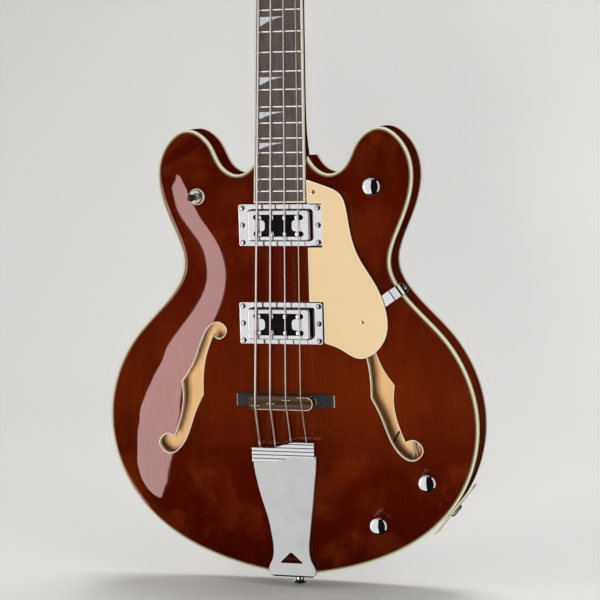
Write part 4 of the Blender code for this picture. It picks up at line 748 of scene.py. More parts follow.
def archedSheet(name, outer, holes, arch, wall, finish, stands, spacing, forwards):
    # arch gives the lacquered side's depth and rise; the other side lies one wall behind it
    loops = [outer, *holes]
    edges, start = [], 0
    for loop in loops:
        edges += [(start + i, start + (i + 1) % len(loop)) for i in range(len(loop))]
        start += len(loop)
    spots = [insetLoop(outer, 1.6), insetLoop(outer, 4.2)[::2], insetLoop(outer, 8.5)[::2]]
    for i, z in enumerate(np.arange(0, outer[:, 1].max(), spacing * 0.866)):
        across = np.arange(-230, 230, spacing) + 0.5 * spacing * (i % 2)
        spots.append(np.stack([across, np.full(len(across), z)], axis=1))
    spots = np.vstack(spots)
    spots = spots[loopHolds(spots, outer)]
    keep = np.ones(len(spots), bool)
    for loop in loops:
        near = np.full(len(spots), 1e9)
        for point in loop[::2]:
            near = np.minimum(near, np.hypot(*(spots - point).T))
        keep &= near > (1.2 if loop is outer else 0.55 * spacing)
    for hole in holes:
        keep &= ~loopHolds(spots, hole)
    verts = [Vector(p) for p in np.vstack([*loops, spots[keep]])]
    points, _, faces, *_ = delaunay_2d_cdt(verts, edges, [], 0, 1e-7)
    points = np.array([tuple(p) for p in points])
    middles = np.array([points[list(face)].mean(axis=0) for face in faces])
    good = loopHolds(middles, outer)
    for hole in holes:
        good &= ~loopHolds(middles, hole)
    share, slopeX, slopeZ = archAt(*points.T, shading=True)
    depth, height = arch
    shown = depth + height * share
    turn = 1 if forwards else -1
    normal = np.stack([turn * height * slopeX, np.full(len(points), -turn), turn * height * slopeZ], axis=1)
    normal /= np.linalg.norm(normal, axis=1)[:, None]
    count = len(points)
    sheet = laid(points, shown) + laid(points, shown + turn * wall)
    out, normals, slots, sides = [], [], [], []
    for face in (face for face, fine in zip(faces, good) if fine):
        a, b, c = (points[i] for i in face[:3])
        if (b[0] - a[0]) * (c[1] - a[1]) - (b[1] - a[1]) * (c[0] - a[0]) < 0:
            face = face[::-1]
        sides += zip(face, (*face[1:], face[0]))
        first = face if forwards else face[::-1]
        out += [tuple(first), tuple(i + count for i in first[::-1])]
        normals += [normal[i] for i in first] + [-normal[i] for i in first[::-1]]
        slots += [0, 1]
    used = set(sides)
    for i, j in sides:
        if (j, i) not in used:
            way = points[j] - points[i]
            out.append((j, i, i + count, j + count) if forwards else (i, j, j + count, i + count))
            normals += [np.array((way[1], 0, -way[0])) / np.linalg.norm(way)] * 4
            slots.append(1)
    return newPiece(name, sheet, out, finish, "guitar", stands, slots, normals=normals)


nutPlace = Vector((0, 30.8884, 978.7642))
neckAngle = math.radians(4.68)
neckFrame = Matrix.Translation(nutPlace) @ Matrix.Rotation(-neckAngle, 4, "X")
neckFront = 6.3
headFrame = neckFrame @ shift(0, neckFront + 1, 5.6) @ Matrix.Rotation(math.radians(-11), 4, "X")
scaleLength, nutSpread = 775, 32.5
stringLook = (  # name, thickness, where it crosses the saddle, how far behind the scale's end
    ("e", 2.67, -26.2, 13.0), ("a", 2.16, -9.4, 10.5), ("d", 1.65, 8.0, 6.5), ("g", 1.14, 24.6, 3.5),
)


def nutX(index):
    return -nutSpread / 2 + nutSpread * index / 3


def saddlePoint(index):
    _, thick, across, extra = stringLook[index]
    return neckFrame @ Vector((across, -3.2 - thick / 2, -scaleLength - extra))


def stringMiddle(height):
    return -0.8 * (nutPlace.z - height) / (nutPlace.z - saddlePoint(0).z)


pickupLook = {
    "places": (("neck", 386.302, 10.8, 7.2), ("bridge", 280.8, 17.0, 10.0)),
    "ring": (94.5, 45.5), "opening": (71.8, 34.3), "cover": (69.5, 32.5), "coverDepth": 15,
    "window": (56, 23.5, 5.6), "tongue": 13, "poleRows": 8.7, "poleRadius": 2.8,
    "poleSpread": 0.89, "poleShift": 0.6,  # the poles stand closer together than the strings
    "screws": (42.6, 18.6), "screw": (2.3, 0.9),
}
controlLook = {
    "knobs": (("master_volume", 103.5, 427.5), ("tone", 157.5, 111.5), ("volume", 103.0, 63.0)),
    "toggle": (-97.3, 417.0), "radius": 10.2, "height": 16, "clear": 4.6,
    "washer": [(4.65, 0.05), (8.6, 0.05), (8.6, 0.55), (8.2, 0.75), (4.65, 0.75)],
    "nut": (4.65, 6.3, 0.75, 3.0),  # bore, corners, bottom and top
    "switchWasher": [(6.1, 0.15), (8.5, 0.15), (8.9, 0.4), (8.9, 0.9), (8.3, 1.2), (6.1, 1.2)],
    "switchNut": [(6.1, 1.2), (8.3, 1.2), (8.3, 2.5), (7.7, 3.1), (6.9, 3.35), (6.6, 3.6), (6.1, 3.6)],
    "ball": 3.8,
    "lever": [(1.5, 4.2), (1.5, 11.8), (2.0, 12.0), (2.6, 12.5), (2.9, 13.4), (3.5, 15.6), (3.75, 18),
              (3.7, 20), (3.2, 22), (2.4, 23.1), (1.3, 23.65), (0.05, 23.8)],
}


def makeBody():
    look = bodyLook
    deep, plate = look["rimDepth"], look["plate"]
    inner, rear = insetLoop(bodyLoop, look["frontBinding"]), insetLoop(bodyLoop, look["backBinding"])
    holes = [fHoleLoop(1), fHoleLoop(-1)]
    holes += [circleLoop(x, z, look["potHole"]) for _, x, z in controlLook["knobs"]]
    holes.append(circleLoop(*controlLook["toggle"], look["toggleHole"]))
    wide, tall = pickupLook["opening"]
    for _, height, _, _ in pickupLook["places"]:
        holes.append(roundedBox(wide - 2, tall - 1, 4, 3, 12) + (stringMiddle(height), height))
    archedSheet("archedTop", inner, holes, (0, -look["topArch"]), plate,
                ["lacquer", "insideWood"], "top_plate", 5.0, True)
    archedSheet("archedBack", rear, [], (deep, look["backArch"]), plate,
                ["rimLacquer", "insideWood"], "back_plate", 6.0, False)
    within, side = insetLoop(bodyLoop, look["rimWall"]), deep - look["backSide"]
    rings = [laid(loop, y) for loop, y in ((bodyLoop, plate), (within, plate), (within, deep - plate),
                                           (rear, deep - plate), (rear, side), (bodyLoop, side))]
    rim = Shape().loft(rings, closed=True, bands=[1, 1, 1, 0, 0, 0])
    carve(rim.make("sides", ["rimLacquer", "insideWood"], stands="rim"), [jackHole(jackLook["rimHole"])])
    edge, width, cream = look["edgeRound"], look["frontBinding"], look["creamWidth"]
    profile = [(0, plate), (0, edge), (0.10 * edge, 0.55 * edge), (0.35 * edge, 0.2 * edge), (edge, 0.0),
               (cream, -0.08), (width - look["darkWidth"], -0.15), (width, -0.17), (width, plate)]
    strip = Shape().loft([laid(insetLoop(bodyLoop, d), y) for d, y in profile], closed=True,
                         bands=[0, 0, 0, 0, 0, 1, 2, 2, 0])
    strip.make("frontEdging", ["creamBinding", "plyLine", "darkMarksAndPaintedShade"], stands="front_binding")
    width = look["backBinding"]
    profile = [(0, side), (width, side), (width, deep), (edge, deep), (0.35 * edge, deep - 0.2 * edge),
               (0.1 * edge, deep - 0.55 * edge), (0, deep - edge)]
    strip = Shape().loft([laid(insetLoop(bodyLoop, d), y) for d, y in profile], closed=True)
    strip.make("backEdging", "backBinding", stands="back_binding")
    for way, where in ((1, "treble"), (-1, "bass")):
        hole, rings = fHoleLoop(way, 14), []
        for inset, lift, sunk in look["fHoleEdging"]:
            loop = insetLoop(hole, inset)
            rings.append(laid(loop, topDepth(*loop.T) - lift + sunk))
        strip = Shape().loft(rings, closed=True)
        strip.make(f"{where}FHoleEdging", "creamBinding", stands=f"{where}_f_hole_binding")
    dress("blockWood", "centre_block")


def outlineNear(x, z):
    i = int(np.hypot(*(bodyCurve - (x, z)).T).argmin())
    ahead = bodyCurve[i + 1] - bodyCurve[i - 1]
    ahead /= np.linalg.norm(ahead)
    return bodyCurve[i], np.array((ahead[1], -ahead[0]))


def turnTo(out):
    return Matrix.Rotation(-math.atan2(out[1], out[0]), 4, "Y")


jackLook = {
    "at": (178.5, 75.0), "plate": (68, 25, 1.6), "screws": (27.5, 6.5), "barrel": 5.8, "bore": 3.6,
    "rimHole": 6.2, "plateHole": 6.1, "nut": (8.0, 7.0, 6.2),  # corners, flats and bore
}


def jackLine():
    spot, out = outlineNear(*jackLook["at"])
    return shift(spot[0], bodyLook["rimDepth"] / 2, spot[1]) @ turnTo(out)


def jackHole(radius):
    return Shape().turned([(radius, -10), (radius, 8)], matrix=jackLine() @ spin(90, "Y"))


makeBody()
print("body made")


# Neck with its head, the board, frets, inlays and nut

neckLook = {
    "nutWidth": 42.5, "endWidth": 57.5, "overhang": 12.5, "board": 6.0, "radius": 305, "edging": 1.6,
    "firstDepth": 15, "lastDepth": 18, "heelStart": 452, "heelBack": 58.6, "headDepth": 15,
    "head": [(21.5, -5), (23, 8), (32, 26), (37.5, 46), (37, 80), (36, 118), (40.5, 160), (36, 188),
             (18, 200), (0, 203)],
    "throat": ((17, 0.92), (12, 0.75), (7, 0.5), (3, 0.3), (0.3, 0.16)),  # from the box to the round
    "shaft": (6, 14, 24, 36, 60, 90, 130, 180, 230, 280, 330, 380, 420, 452),
    "rodCover": [(9, 2.5), (8.6, 12), (7.2, 24), (4, 34), (0, 38)],
    "rodScrews": ((0, 33.5), (-5.6, 5.2), (5.6, 5.2)),
    "frets": 22, "fretWidth": 2.5, "fretHeight": 1.05,
    "inlays": (3, 5, 7, 9, 12, 15, 17, 19), "sideDots": (3, 5, 7, 9, 12, 15, 17, 19, 21),
    "fin": (0.32, 0.755, -0.785, 0.25),  # shares of the space between frets, and of the board's half
    "nut": ((0.25, 0.5), (0.6, 0.15), (1.2, 0), (4.0, 0.0), (4.9, 0.25), (5.3, 0.8)),  # along, rounding
}


def fretAt(number):
    return scaleLength * (1 - 2 ** (-number / 12))


boardLength = fretAt(neckLook["frets"]) + neckLook["overhang"]


def boardHalf(distance):
    first, last = neckLook["nutWidth"], neckLook["endWidth"]
    return (first + (last - first) * distance / boardLength) / 2


def crownDrop(x):
    radius = neckLook["radius"]
    return radius - np.sqrt(radius ** 2 - np.asarray(x, float) ** 2)


def dRing(half, depth, flatness=0.0, front=neckFront):  # round neck section that turns into a rounded box
    flat = [(half * (1 - 2 * i / 7), front) for i in range(8)]
    curve = []
    shoulder, radius = 2.5, 1.6
    for i in range(1, 33):
        angle = math.pi * i / 33
        across = math.copysign(abs(math.cos(angle)) ** 0.85, math.cos(angle))
        x, y = -half * across, front + shoulder + (depth - shoulder) * math.sin(angle) ** 0.9
        if flatness:
            run = i / 33 * (2 * depth + 2 * half)  # once round three sides of a box
            if run < depth:
                bx, by = -half, front + run
            elif run < depth + 2 * half:
                bx, by = -half + run - depth, front + depth
            else:
                bx, by = half, front + 2 * depth + 2 * half - run
            cx = min(max(bx, -half + radius), half - radius)
            cy = min(max(by, front + radius), front + depth - radius)
            away = math.hypot(bx - cx, by - cy)
            if away > radius:
                bx, by = cx + (bx - cx) / away * radius, cy + (by - cy) / away * radius
            x, y = x + (bx - x) * flatness, y + (by - y) * flatness
        curve.append((x, y))
    return flat + curve


def placed(matrix, points):
    return [tuple(matrix @ Vector(point)) for point in points]


def makeNeck():
    look = neckLook
    rings = []
    joint = bodyLook["half"][-1][1]
    reach = (nutPlace.z - joint) / math.cos(neckAngle)
    outline = splineThrough(look["head"], end=(-1, 0), perSpan=10)
    deep, first, last = look["headDepth"], look["firstDepth"], look["lastDepth"]
    for half, high in outline[::-1]:
        if high < 22:
            break
        rings.append(placed(headFrame, lifted(dRing(max(half, 0.6), deep, 1.0, 0), min(high, 202.8))))
    for high, flatness in look["throat"]:
        half = float(np.interp(high, outline[:, 1], outline[:, 0]))
        ring = dRing(half, deep + 2.2 * math.sin(math.pi * (22 - high) / 30), flatness, 0)
        rings.append(placed(headFrame, lifted(ring, high)))
    for z in (5.3, 2.0, 0.0):
        rings.append(placed(neckFrame, lifted(dRing(look["nutWidth"] / 2, 16.2 - 0.12 * (6 - z), 0.05), z)))
    start = look["heelStart"]
    for distance in look["shaft"]:
        depth = first + distance / start * (last - first) + 0.6 * math.exp(-distance / 14)
        rings.append(placed(neckFrame, lifted(dRing(boardHalf(distance), depth), -distance)))
    heel = look["heelBack"] - neckFront - look["board"]
    for step in range(1, 17):
        share = step / 17
        distance = start + share * (reach - start)
        depth = last + share ** 2.2 * (heel - last)
        tilt = max(0, (share - 0.5) * 2)
        ring = []
        for x, y in dRing(boardHalf(distance), depth):
            level = (joint + 1.5 - nutPlace.z + y * math.sin(neckAngle)) / math.cos(neckAngle)
            ring.append((x, y, max(-distance + tilt * (level + reach), level)))
        rings.append(placed(neckFrame, ring))
    ring = []
    for x, y in dRing(boardHalf(reach), heel):
        ring.append((x, y, (joint - 1.5 - nutPlace.z + y * math.sin(neckAngle)) / math.cos(neckAngle)))
    rings.append(placed(neckFrame, ring))
    neck = Shape().loft(rings)
    ledge = []
    for z in np.linspace(joint + 3, nutPlace.z - (boardLength - 0.2) * math.cos(neckAngle), 12):
        distance = (nutPlace.z - z) / math.cos(neckAngle)
        half = boardHalf(distance)
        front = (neckFrame @ Vector((0, neckFront - 0.2, -distance))).y
        across = np.linspace(-half, half, 7)
        bottom = topDepth(across, np.full(7, min(z, joint - 1.0))) + 0.4
        ledge.append([(half, front, z), (-half, front, z)] + [(x, y, z) for x, y in zip(across, bottom)])
    neck.loft(ledge)
    neck.make("neckAndHead", "neckLacquer", stands="neck", sharp=40)
    dress("steel", "truss_rod")
    cover = splineThrough(look["rodCover"], perSpan=6)
    cover = np.vstack([[(0, 2)], cover, cover[::-1][1:] * (-1, 1)])
    plate = Shape().cushion(cover, -1.8, -0.2, 0.7, matrix=headFrame)
    for x, z in look["rodScrews"]:
        screwHead(plate, headFrame @ facingFront(x, -1.8, z), 1.7, 0.8, 1, 2)
    plate.make("rodCover", ["blackPlastic", "chrome", "darkMarksAndPaintedShade"], stands="truss_rod_cover")


def makeBoard():
    look = neckLook
    wall, thick = look["edging"], look["board"]
    rings = []
    for distance in np.linspace(0.3, boardLength - wall, 60):
        half = boardHalf(distance) - wall
        across = np.linspace(-half, half, 15)
        rings.append(lifted([(half, thick), (-half, thick), *zip(across, crownDrop(across))], -distance))
    Shape().loft(rings, matrix=neckFrame).make("board", "rosewood", stands="fingerboard")
    edging = Shape()
    for side in (-1, 1):
        rings = []
        for distance in np.linspace(0.3, boardLength, 60):
            outer, within = boardHalf(distance), boardHalf(distance) - wall
            drop = float(crownDrop(outer))
            section = [(outer, thick), (within, thick), (within, float(crownDrop(within))),
                       (outer - 0.5, drop), (outer - 0.15, drop + 0.15), (outer, drop + 0.5)]
            rings.append([(side * x, y, -distance) for x, y in section])
        edging.loft(rings, matrix=neckFrame)
    half = boardHalf(boardLength)
    rings = []
    for x in np.linspace(-half + 0.1, half - 0.1, 17):
        drop = float(crownDrop(x))
        section = [(thick, wall), (drop, wall), (drop, 0.4), (drop + 0.15, 0.12), (drop + 0.4, 0), (thick, 0)]
        rings.append([(x, y, -boardLength + z) for y, z in section])
    edging.loft(rings, matrix=neckFrame)
    for number in look["sideDots"]:
        middle = (fretAt(number - 1) + fretAt(number)) / 2
        for away in (middle + 9, middle - 9) if number == 12 else (middle,):
            spot = neckFrame @ shift(-boardHalf(away) - 0.03, 3.6, -away) @ spin(-90, "Y")
            edging.turned([(1.2, -0.8), (1.2, 0.0), (1.0, 0.06)], 18, 1, spot)
    edging.make("boardEdging", ["boardBinding", "darkMarksAndPaintedShade"], stands="fingerboard_binding")
    frets = Shape()
    thin = look["fretWidth"] / 2
    shares = (0.2, 0.4, 0.6, 0.8, 0.96, 0.985, 1)
    for number in range(1, look["frets"] + 1):
        at = fretAt(number)
        half = boardHalf(at) - wall + 0.35
        rings = []
        for share in (*(-part for part in shares[::-1]), 0, *shares):
            drop = float(crownDrop(share * half))
            tall = look["fretHeight"] * (1 if abs(share) < 0.97 else 0.78 if abs(share) < 0.99 else 0.35)
            section = [(drop + 0.3, -thin), (drop + 0.3, thin)]
            section += [(drop - tall * math.sin(angle) ** 0.8 - 0.02, thin * math.cos(angle))
                        for angle in np.linspace(0.0, math.pi, 9)]
            rings.append([(share * half, y, -at + z) for y, z in section])
        frets.loft(rings, matrix=neckFrame)
    frets.make("frets", "fretWire", sharp=50)
    fins = Shape()
    for number in look["inlays"]:
        near, far = fretAt(number - 1), fretAt(number)
        top, bottom = (near + share * (far - near) for share in look["fin"][:2])
        left, right = (share * boardHalf(near) for share in look["fin"][2:])
        rings = []
        for t in np.linspace(0, 1, 12):
            x = left + t * (right - left)
            low = top + 0.35 + (bottom - top - 0.35) * (1 - t) ** 1.75
            drop = float(crownDrop(x)) - 0.04
            rings.append([(x, drop, -top), (x, drop, -low), (x, drop + 0.6, -low), (x, drop + 0.6, -top)])
        fins.loft(rings, matrix=neckFrame)
    fins.make("finInlays", "pearl")
    half = look["nutWidth"] / 2
    top = [(half, -1.4), (half - 0.5, -2.1), (half - 1.4, -2.45)]
    for index in reversed(range(4)):
        wide = stringLook[index][1] / 2 + 0.25
        notch = [(wide, -2.7), (wide * 0.95, -1.3), (wide * 0.6, -1.25)]
        notch += [(-x, y) for x, y in notch[::-1]]
        top += [(nutX(index) + x, y) for x, y in notch]
    top += [(-half + 1.4, -2.45), (-half + 0.5, -2.1), (-half, -1.4)]
    rings = []
    for z, lift in look["nut"]:
        ring = [(x, y + (lift if y < -1.9 else 0)) for x, y in top] + [(-half, neckFront), (half, neckFront)]
        rings.append(lifted(ring, z))
    Shape().loft(rings, matrix=neckFrame).make("boneNut", "bone", stands="nut")


makeNeck()
makeBoard()
print("neck and board made")


# Strings, wound round their posts as in the model

tunerLook = {
    "places": (("e", -1, 62, 26), ("a", -1, 140, 27), ("d", 1, 140, 27), ("g", 1, 62, 26)),
    "post": 5.0, "rise": 20, "housing": (24, 30, 13), "keyOffset": 8, "windings": 2.25, "gap": 0.5,
    "gearScrew": (0, 7.5), "screws": ((-9, 12), (9, 12), (-9, -12), (9, -12)), "slot": (1.6, 10, 5),
    "ferrule": [(5.35, -0.5), (9.5, -0.5), (9.5, 0.5), (9.0, 0.9), (8.0, 1.0), (7.8, 1.3), (7.6, 2.6),
                (6.9, 3.2), (5.9, 3.3), (5.35, 3.0)],
    "bush": [(2.9, -1.5), (5.0, -1.5), (5.0, 0.1), (4.6, 0.6), (2.9, 0.6)],
    "keyStem": [(2.6, 1.1), (3.7, 1.4), (4.0, 1.9), (4.0, 3.8), (3.6, 4.5), (2.6, 5), (2.5, 8), (2.7, 10)],
    "keyWing": [(3.0, 11), (4.2, 12.6), (7.4, 15.4), (10.6, 19.6), (12.0, 25), (11.0, 30.4), (7.6, 34.2),
                (3.0, 35.8), (0.3, 36)],
}
tailLook = {
    "edges": [(138, -35.6, 36.6), (126, -35.0, 35.8), (108, -32.8, 33.2), (88, -28.8, 30.2),
              (66, -23.4, 26.6), (45, -20.4, 23.2), (28, -19.8, 21.4), (17, -22.2, 23.2), (8, -26.4, 27.0),
              (3.4, -26.6, 27.4), (0.7, -25.2, 26.2)],
    "sheet": 2.0, "headTop": 152.5, "step": 6, "headFront": 26, "headHeight": 16, "rib": 4.05, "plate": 2.4,
    "ribShape": ((0.0, 1.0), (0.05, 1.0), (0.11, 0.35), (0.17, 0.02), (0.5, 0.0), (0.83, 0.02), (0.89, 0.35),
                 (0.95, 1.0)),
    "headEnds": (-35.4, 35.2), "lip": (10, 2.5), "spread": 52.6, "aside": 0.9, "stringFront": 21.3,
    "footFront": 5, "bend": 3, "tab": 37,
    "window": [(0.3, 27.5), (-13.5, 14.2), (13.8, 14.2)], "windowRound": 2.6, "screwHole": 2.4,
}


def tailTop(x):
    return tailLook["headTop"] - tailLook["step"] * (1 - smooth(min(max((x + 14) / 28, 0), 1)))


def tailPoint(index):
    across = -tailLook["spread"] / 2 + tailLook["spread"] * index / 3 - tailLook["aside"]
    return Vector((across, -tailLook["stringFront"], tailTop(across) - tailLook["lip"][1] / 2))


def stringRoute(index, turnPoints=36):
    thick = stringLook[index][1]
    _, side, height, across = tunerLook["places"][index]
    nut = neckFrame @ Vector((nutX(index), -1.5 - thick / 2, 2.5))
    start = headFrame.inverted() @ nut
    radius = tunerLook["post"] + 0.3 + thick / 2
    centre = np.array((side * across, height))
    away = np.array((start.x, start.z)) - centre
    first = math.atan2(away[1], away[0]) - side * math.acos(radius / np.linalg.norm(away))
    winding = []
    for step in range(int(tunerLook["windings"] * turnPoints) + 1):
        turn = step / turnPoints
        angle = first - side * turn * 2 * math.pi
        x, z = centre + radius * np.array((math.cos(angle), math.sin(angle)))
        winding.append(Vector((x, -13.5 + (thick + tunerLook["gap"]) * turn, z)))
    winding.append(winding[-1] + (winding[-1] - winding[-2]).normalized() * thick)
    saddle, tail = saddlePoint(index), tailPoint(index)
    behindNut = nut + (nut - saddle).normalized() * 3.5
    end = tail + (tail - saddle).normalized() * tailLook["lip"][1]
    return end, saddle, nut, behindNut, [headFrame @ point for point in winding]


def makeStrings():
    balls = Shape()
    for index, (name, thick, _, _) in enumerate(stringLook):
        end, saddle, nut, behindNut, winding = stringRoute(index)
        points = []
        for here, there, longest in ((end, saddle, 12), (saddle, nut, 25), (nut, behindNut, 2),
                                     (behindNut, winding[0], 12)):
            count = max(2, math.ceil((there - here).length / longest))
            points += [here + (there - here) * i / count for i in range(count)]
        shape = Shape()
        along = shape.tube(points + winding, thick / 2, 14)
        own = f"string{name.upper()}"
        string = shape.make(own, own, stands=f"string_{name}", sharp=60)
        lengths = string.data.attributes.new("along", "FLOAT", "POINT")
        lengths.data.foreach_set("value", np.array(along, np.float32))
        way = (end - saddle).normalized()
        twist = [end - way * (9.0 - i * 0.75) for i in range(13)]
        wide = [thick / 2 + 0.02] + [thick / 2 + 0.22 + 0.08 * (i % 2) for i in range(12)]
        balls.tube(twist, wide, 14, 1)
        half = [(0.8, -1.7), (1.9, -1.7), (2.2, -1.4), (2.2, -0.9), (1.7, -0.6)]
        balls.turned(half + [(radius, -level) for radius, level in half[::-1]], 24, 0,
                     Matrix.Translation(end + way * 1.6) @ spin(90, "Y"), closed=True)
    balls.make("ballEnds", ["brass", "steel"])


makeStrings()
print("strings made")


# Tuners on the back of the head

def makeTuners():
    look = tunerLook
    width, tall, deep = look["housing"]
    rise, thick = look["rise"], look["post"]
    behind = neckLook["headDepth"] + 0.3
    ferrules = Shape()
    for name, side, height, across in look["places"]:
        spot = headFrame @ shift(side * across, 0, height)
        flip = spot @ shift(0, behind + deep, 0) @ spin(180, "Z")
        housing = Shape().cushion(roundedBox(width, tall, 4), 0, deep, 2.4, flip, 5)
        housing.cushion(roundedBox(width + 1.2, tall + 1.2, 4.4), deep - 1.4, deep + 0.1, 0.5, flip)
        gearX, gearZ = look["gearScrew"]
        screwHead(housing, flip @ facingFront(gearX, 0.1, gearZ), 2.6, 0.9)
        for x, z in look["screws"]:
            screwHead(housing, flip @ facingFront(x, 0.35, z), 1.5, 0.7)
        keyLine = spot @ shift(0, behind + deep / 2, -look["keyOffset"] - thick)
        keyLine = keyLine @ Matrix.Rotation(side * math.pi / 2, 4, "Y")
        out = width / 2
        bush = [(radius, out + far) for radius, far in look["bush"]]
        housing.turned(bush, 32, 0, keyLine, closed=True)
        housing.make(f"{name}TunerHousing", ["chrome", "darkMarksAndPaintedShade"], stands=f"tuner_{name}_housing", sharp=36)
        low = -behind - deep
        profile = [(thick - 0.5, low + 3.6), (thick, low + 4.2), (thick, 4.5), (thick - 0.45, 7.5),
                   (thick - 0.6, 11), (thick - 0.45, 14), (thick, rise - 3.4), (thick + 0.7, rise - 2.6),
                   (thick + 1.2, rise - 2.0), (thick + 1.2, rise - 1.2), (thick + 0.8, rise - 0.5),
                   (thick + 0.2, rise - 0.1), (thick - 0.6, rise), (2.0, rise), (1.9, rise - 0.5),
                   (0.1, rise - 0.6)]
        line = spot @ spin(90, "X")
        post = Shape().turned(profile, 40, 0, line)
        post = post.make(f"{name}TunerPost", "chrome", f"tuner_{name}_post", sharp=30)
        halfWide, halfLong, slotDeep = look["slot"]
        carve(post, [Shape().prism(boxPlan(halfWide, halfLong), (rise - slotDeep, rise + 1), matrix=line)])
        soften(post, 0.25, 1)
        ferrules.turned(look["ferrule"], 40, 0, line, closed=True)
        makeKey(name, out, keyLine)
    ferrules.make("postFerrules", "chrome")


def makeKey(name, out, line):
    profile = [(2.6, 2.6)] + [(radius, out + far) for radius, far in tunerLook["keyStem"]]
    wing = [(radius, out + far) for radius, far in tunerLook["keyWing"]]
    profile += [tuple(p) for p in splineThrough(wing, perSpan=4)]

    def squeeze(x, y, z):
        flat = smooth(min(1, max(0, (z - out - 11) / 6)))
        dish = 1 - 0.14 * flat * math.exp(-((z - out - 25) / 6) ** 2 - (x / 6) ** 2)
        return x, y * (1 - 0.68 * flat) * dish, z

    key = Shape().turned(profile, 48, 0, line, squeeze=squeeze)
    screwHead(key, line @ shift(0, 0, out + 35.6), 1.8, 0.35, cross=False)
    key.make(f"{name}TunerKey", ["chrome", "darkMarksAndPaintedShade"], f"tuner_{name}_key", sharp=50)


# Pickups

def dumbbell(steps=8):
    wide, tall, slot = pickupLook["window"]
    half, rounding = slot / 2, 4.0
    quarter = [(wide / 2 - half + half * math.cos(a), tall / 2 - half + half * math.sin(a))
               for a in np.linspace(math.pi / 2, -math.pi / 2, 2 * steps)]
    tip, base = wide / 2 - pickupLook["tongue"], tall / 2 - slot
    quarter += [(tip + rounding * (1 - math.sin(a)), base - rounding * (1 - math.cos(a)))
                for a in np.linspace(0, math.pi / 2, steps)]
    loop = []
    for sx, sz in ((1, 1), (-1, 1), (-1, -1), (1, -1)):
        run = [(sx * x, sz * z) for x, z in quarter]
        loop += run if sx * sz < 0 else run[::-1]
    return np.array(loop)


def makePickups():
    look = pickupLook
    wide, tall = look["cover"]
    radius = look["poleRadius"]
    dome = [(radius + 0.45, -0.5), (radius + 0.45, 0.25), (radius, 0.3), (radius, 1.7), (radius * 0.94, 2.3),
            (radius * 0.78, 2.55), (radius * 0.4, 2.62), (0.05, 2.64)]
    for name, height, front, stand in look["places"]:
        middle = np.array((stringMiddle(height), height))
        outer = roundedBox(*look["ring"], 2.5, 5)
        opening = roundedBox(*look["opening"], 4, 5)
        levels = [(outer, topDepth(*(outer + middle).T) + 0.4), (outer, 1.1 - front),
                  (insetLoop(outer, 0.3), 0.35 - front), (insetLoop(outer, 1.0), -front),
                  (insetLoop(opening, -1.1), -front), (insetLoop(opening, -0.35), 0.25 - front),
                  (opening, 0.9 - front), (opening, topDepth(*(opening + middle).T) + 0.4)]
        ring = Shape().loft([laid(loop + middle, level) for loop, level in levels], closed=True)
        screwX, screwZ = look["screws"]
        for x in (-screwX, screwX):
            for z in (-screwZ, 0, screwZ):
                spot = facingFront(middle[0] + x, -front, middle[1] + z)
                screwHead(ring, spot, *look["screw"], turn=0.3 + x * z)
                # a dark disc just wider than the screw head: painted shade round each ring screw
                ring.turned([(2.95, -0.3), (2.95, 0.08), (0.1, 0.08)], 28, 1, spot)
        flatFaces(ring.make(f"{name}PickupRing", ["chrome", "darkMarksAndPaintedShade"], stands=f"{name}_pickup_ring"))
        face = -front - stand
        back = face + look["coverDepth"]
        cover = Shape().cushion(roundedBox(wide, tall, 3) + middle, face, back, 1.3, steps=5)
        cover = cover.make(f"{name}PickupCover", "chrome", stands=f"{name}_pickup_cover", sharp=40)
        hollow = Shape().slab(roundedBox(wide - 2, tall - 2, 2, 4) + middle, face + 1, back + 2)
        window = Shape().slab(dumbbell() + middle, face - 1, face + 2)
        carve(cover, [hollow, window])
        flatFaces(soften(cover, 0.22, 2, 50))
        plan = roundedBox(wide - 2.6, tall - 2.6, 1.7, 4) + middle
        coils = Shape().cushion(plan, face + 1.7, back - 1, 0.5)
        share = (height - saddlePoint(0).z) / (nutPlace.z - saddlePoint(0).z)
        across = [stringLook[i][2] * (1 - share) + nutX(i) * share for i in range(4)]
        centre = (across[0] + across[3]) / 2
        for index in range(4):
            x = centre + (across[index] - centre) * look["poleSpread"] + look["poleShift"]
            for row in (-1, 1):
                spot = facingFront(x, face + 1.8, height + row * look["poleRows"])
                coils.turned(dome, 28, 1, spot, bands=[0, 0, 0, 1, 1, 1, 1])
                turn = Matrix.Rotation(0.5 + index * 0.9 + row, 4, "Z")
                # the slot in each pole screw is a dark bar: painted shade
                coils.prism(boxPlan(radius * 0.9, 0.26), (1.5, 2.62), 2, spot @ turn)
        finish = ["coilBlack", "chrome", "darkMarksAndPaintedShade"]
        coils.make(f"{name}PickupCoils", finish, stands=f"{name}_pickup_coils")


# Bridge: foot, two threaded posts, wheels and the grooved block

bridgeLook = {
    "length": 110, "width": 15, "middle": 16.5, "tip": 12.8, "block": (75, 16.5, 9.5), "edge": 2.4,
    "wire": (10, 1.8, 3.6), "wheel": (7, 2.6), "spacing": 62, "post": 2.0, "pitch": 0.7,
    "collar": [(4.6, -1), (4.6, 0.35), (4.2, 0.7), (2.2, 0.7)], "cap": (0.2, 3.4),
    "rod": (1.5, 0.35, 0.42),  # the painted highlight line: how far in from the block's edge and below its face, and its radius
}


def bridgeHeight():
    return (saddlePoint(0).z + saddlePoint(3).z) / 2 - 2.5


def blockFront():
    return max(saddlePoint(i).y + stringLook[i][1] / 2 for i in range(4)) + 0.3 + bridgeLook["wire"][2]


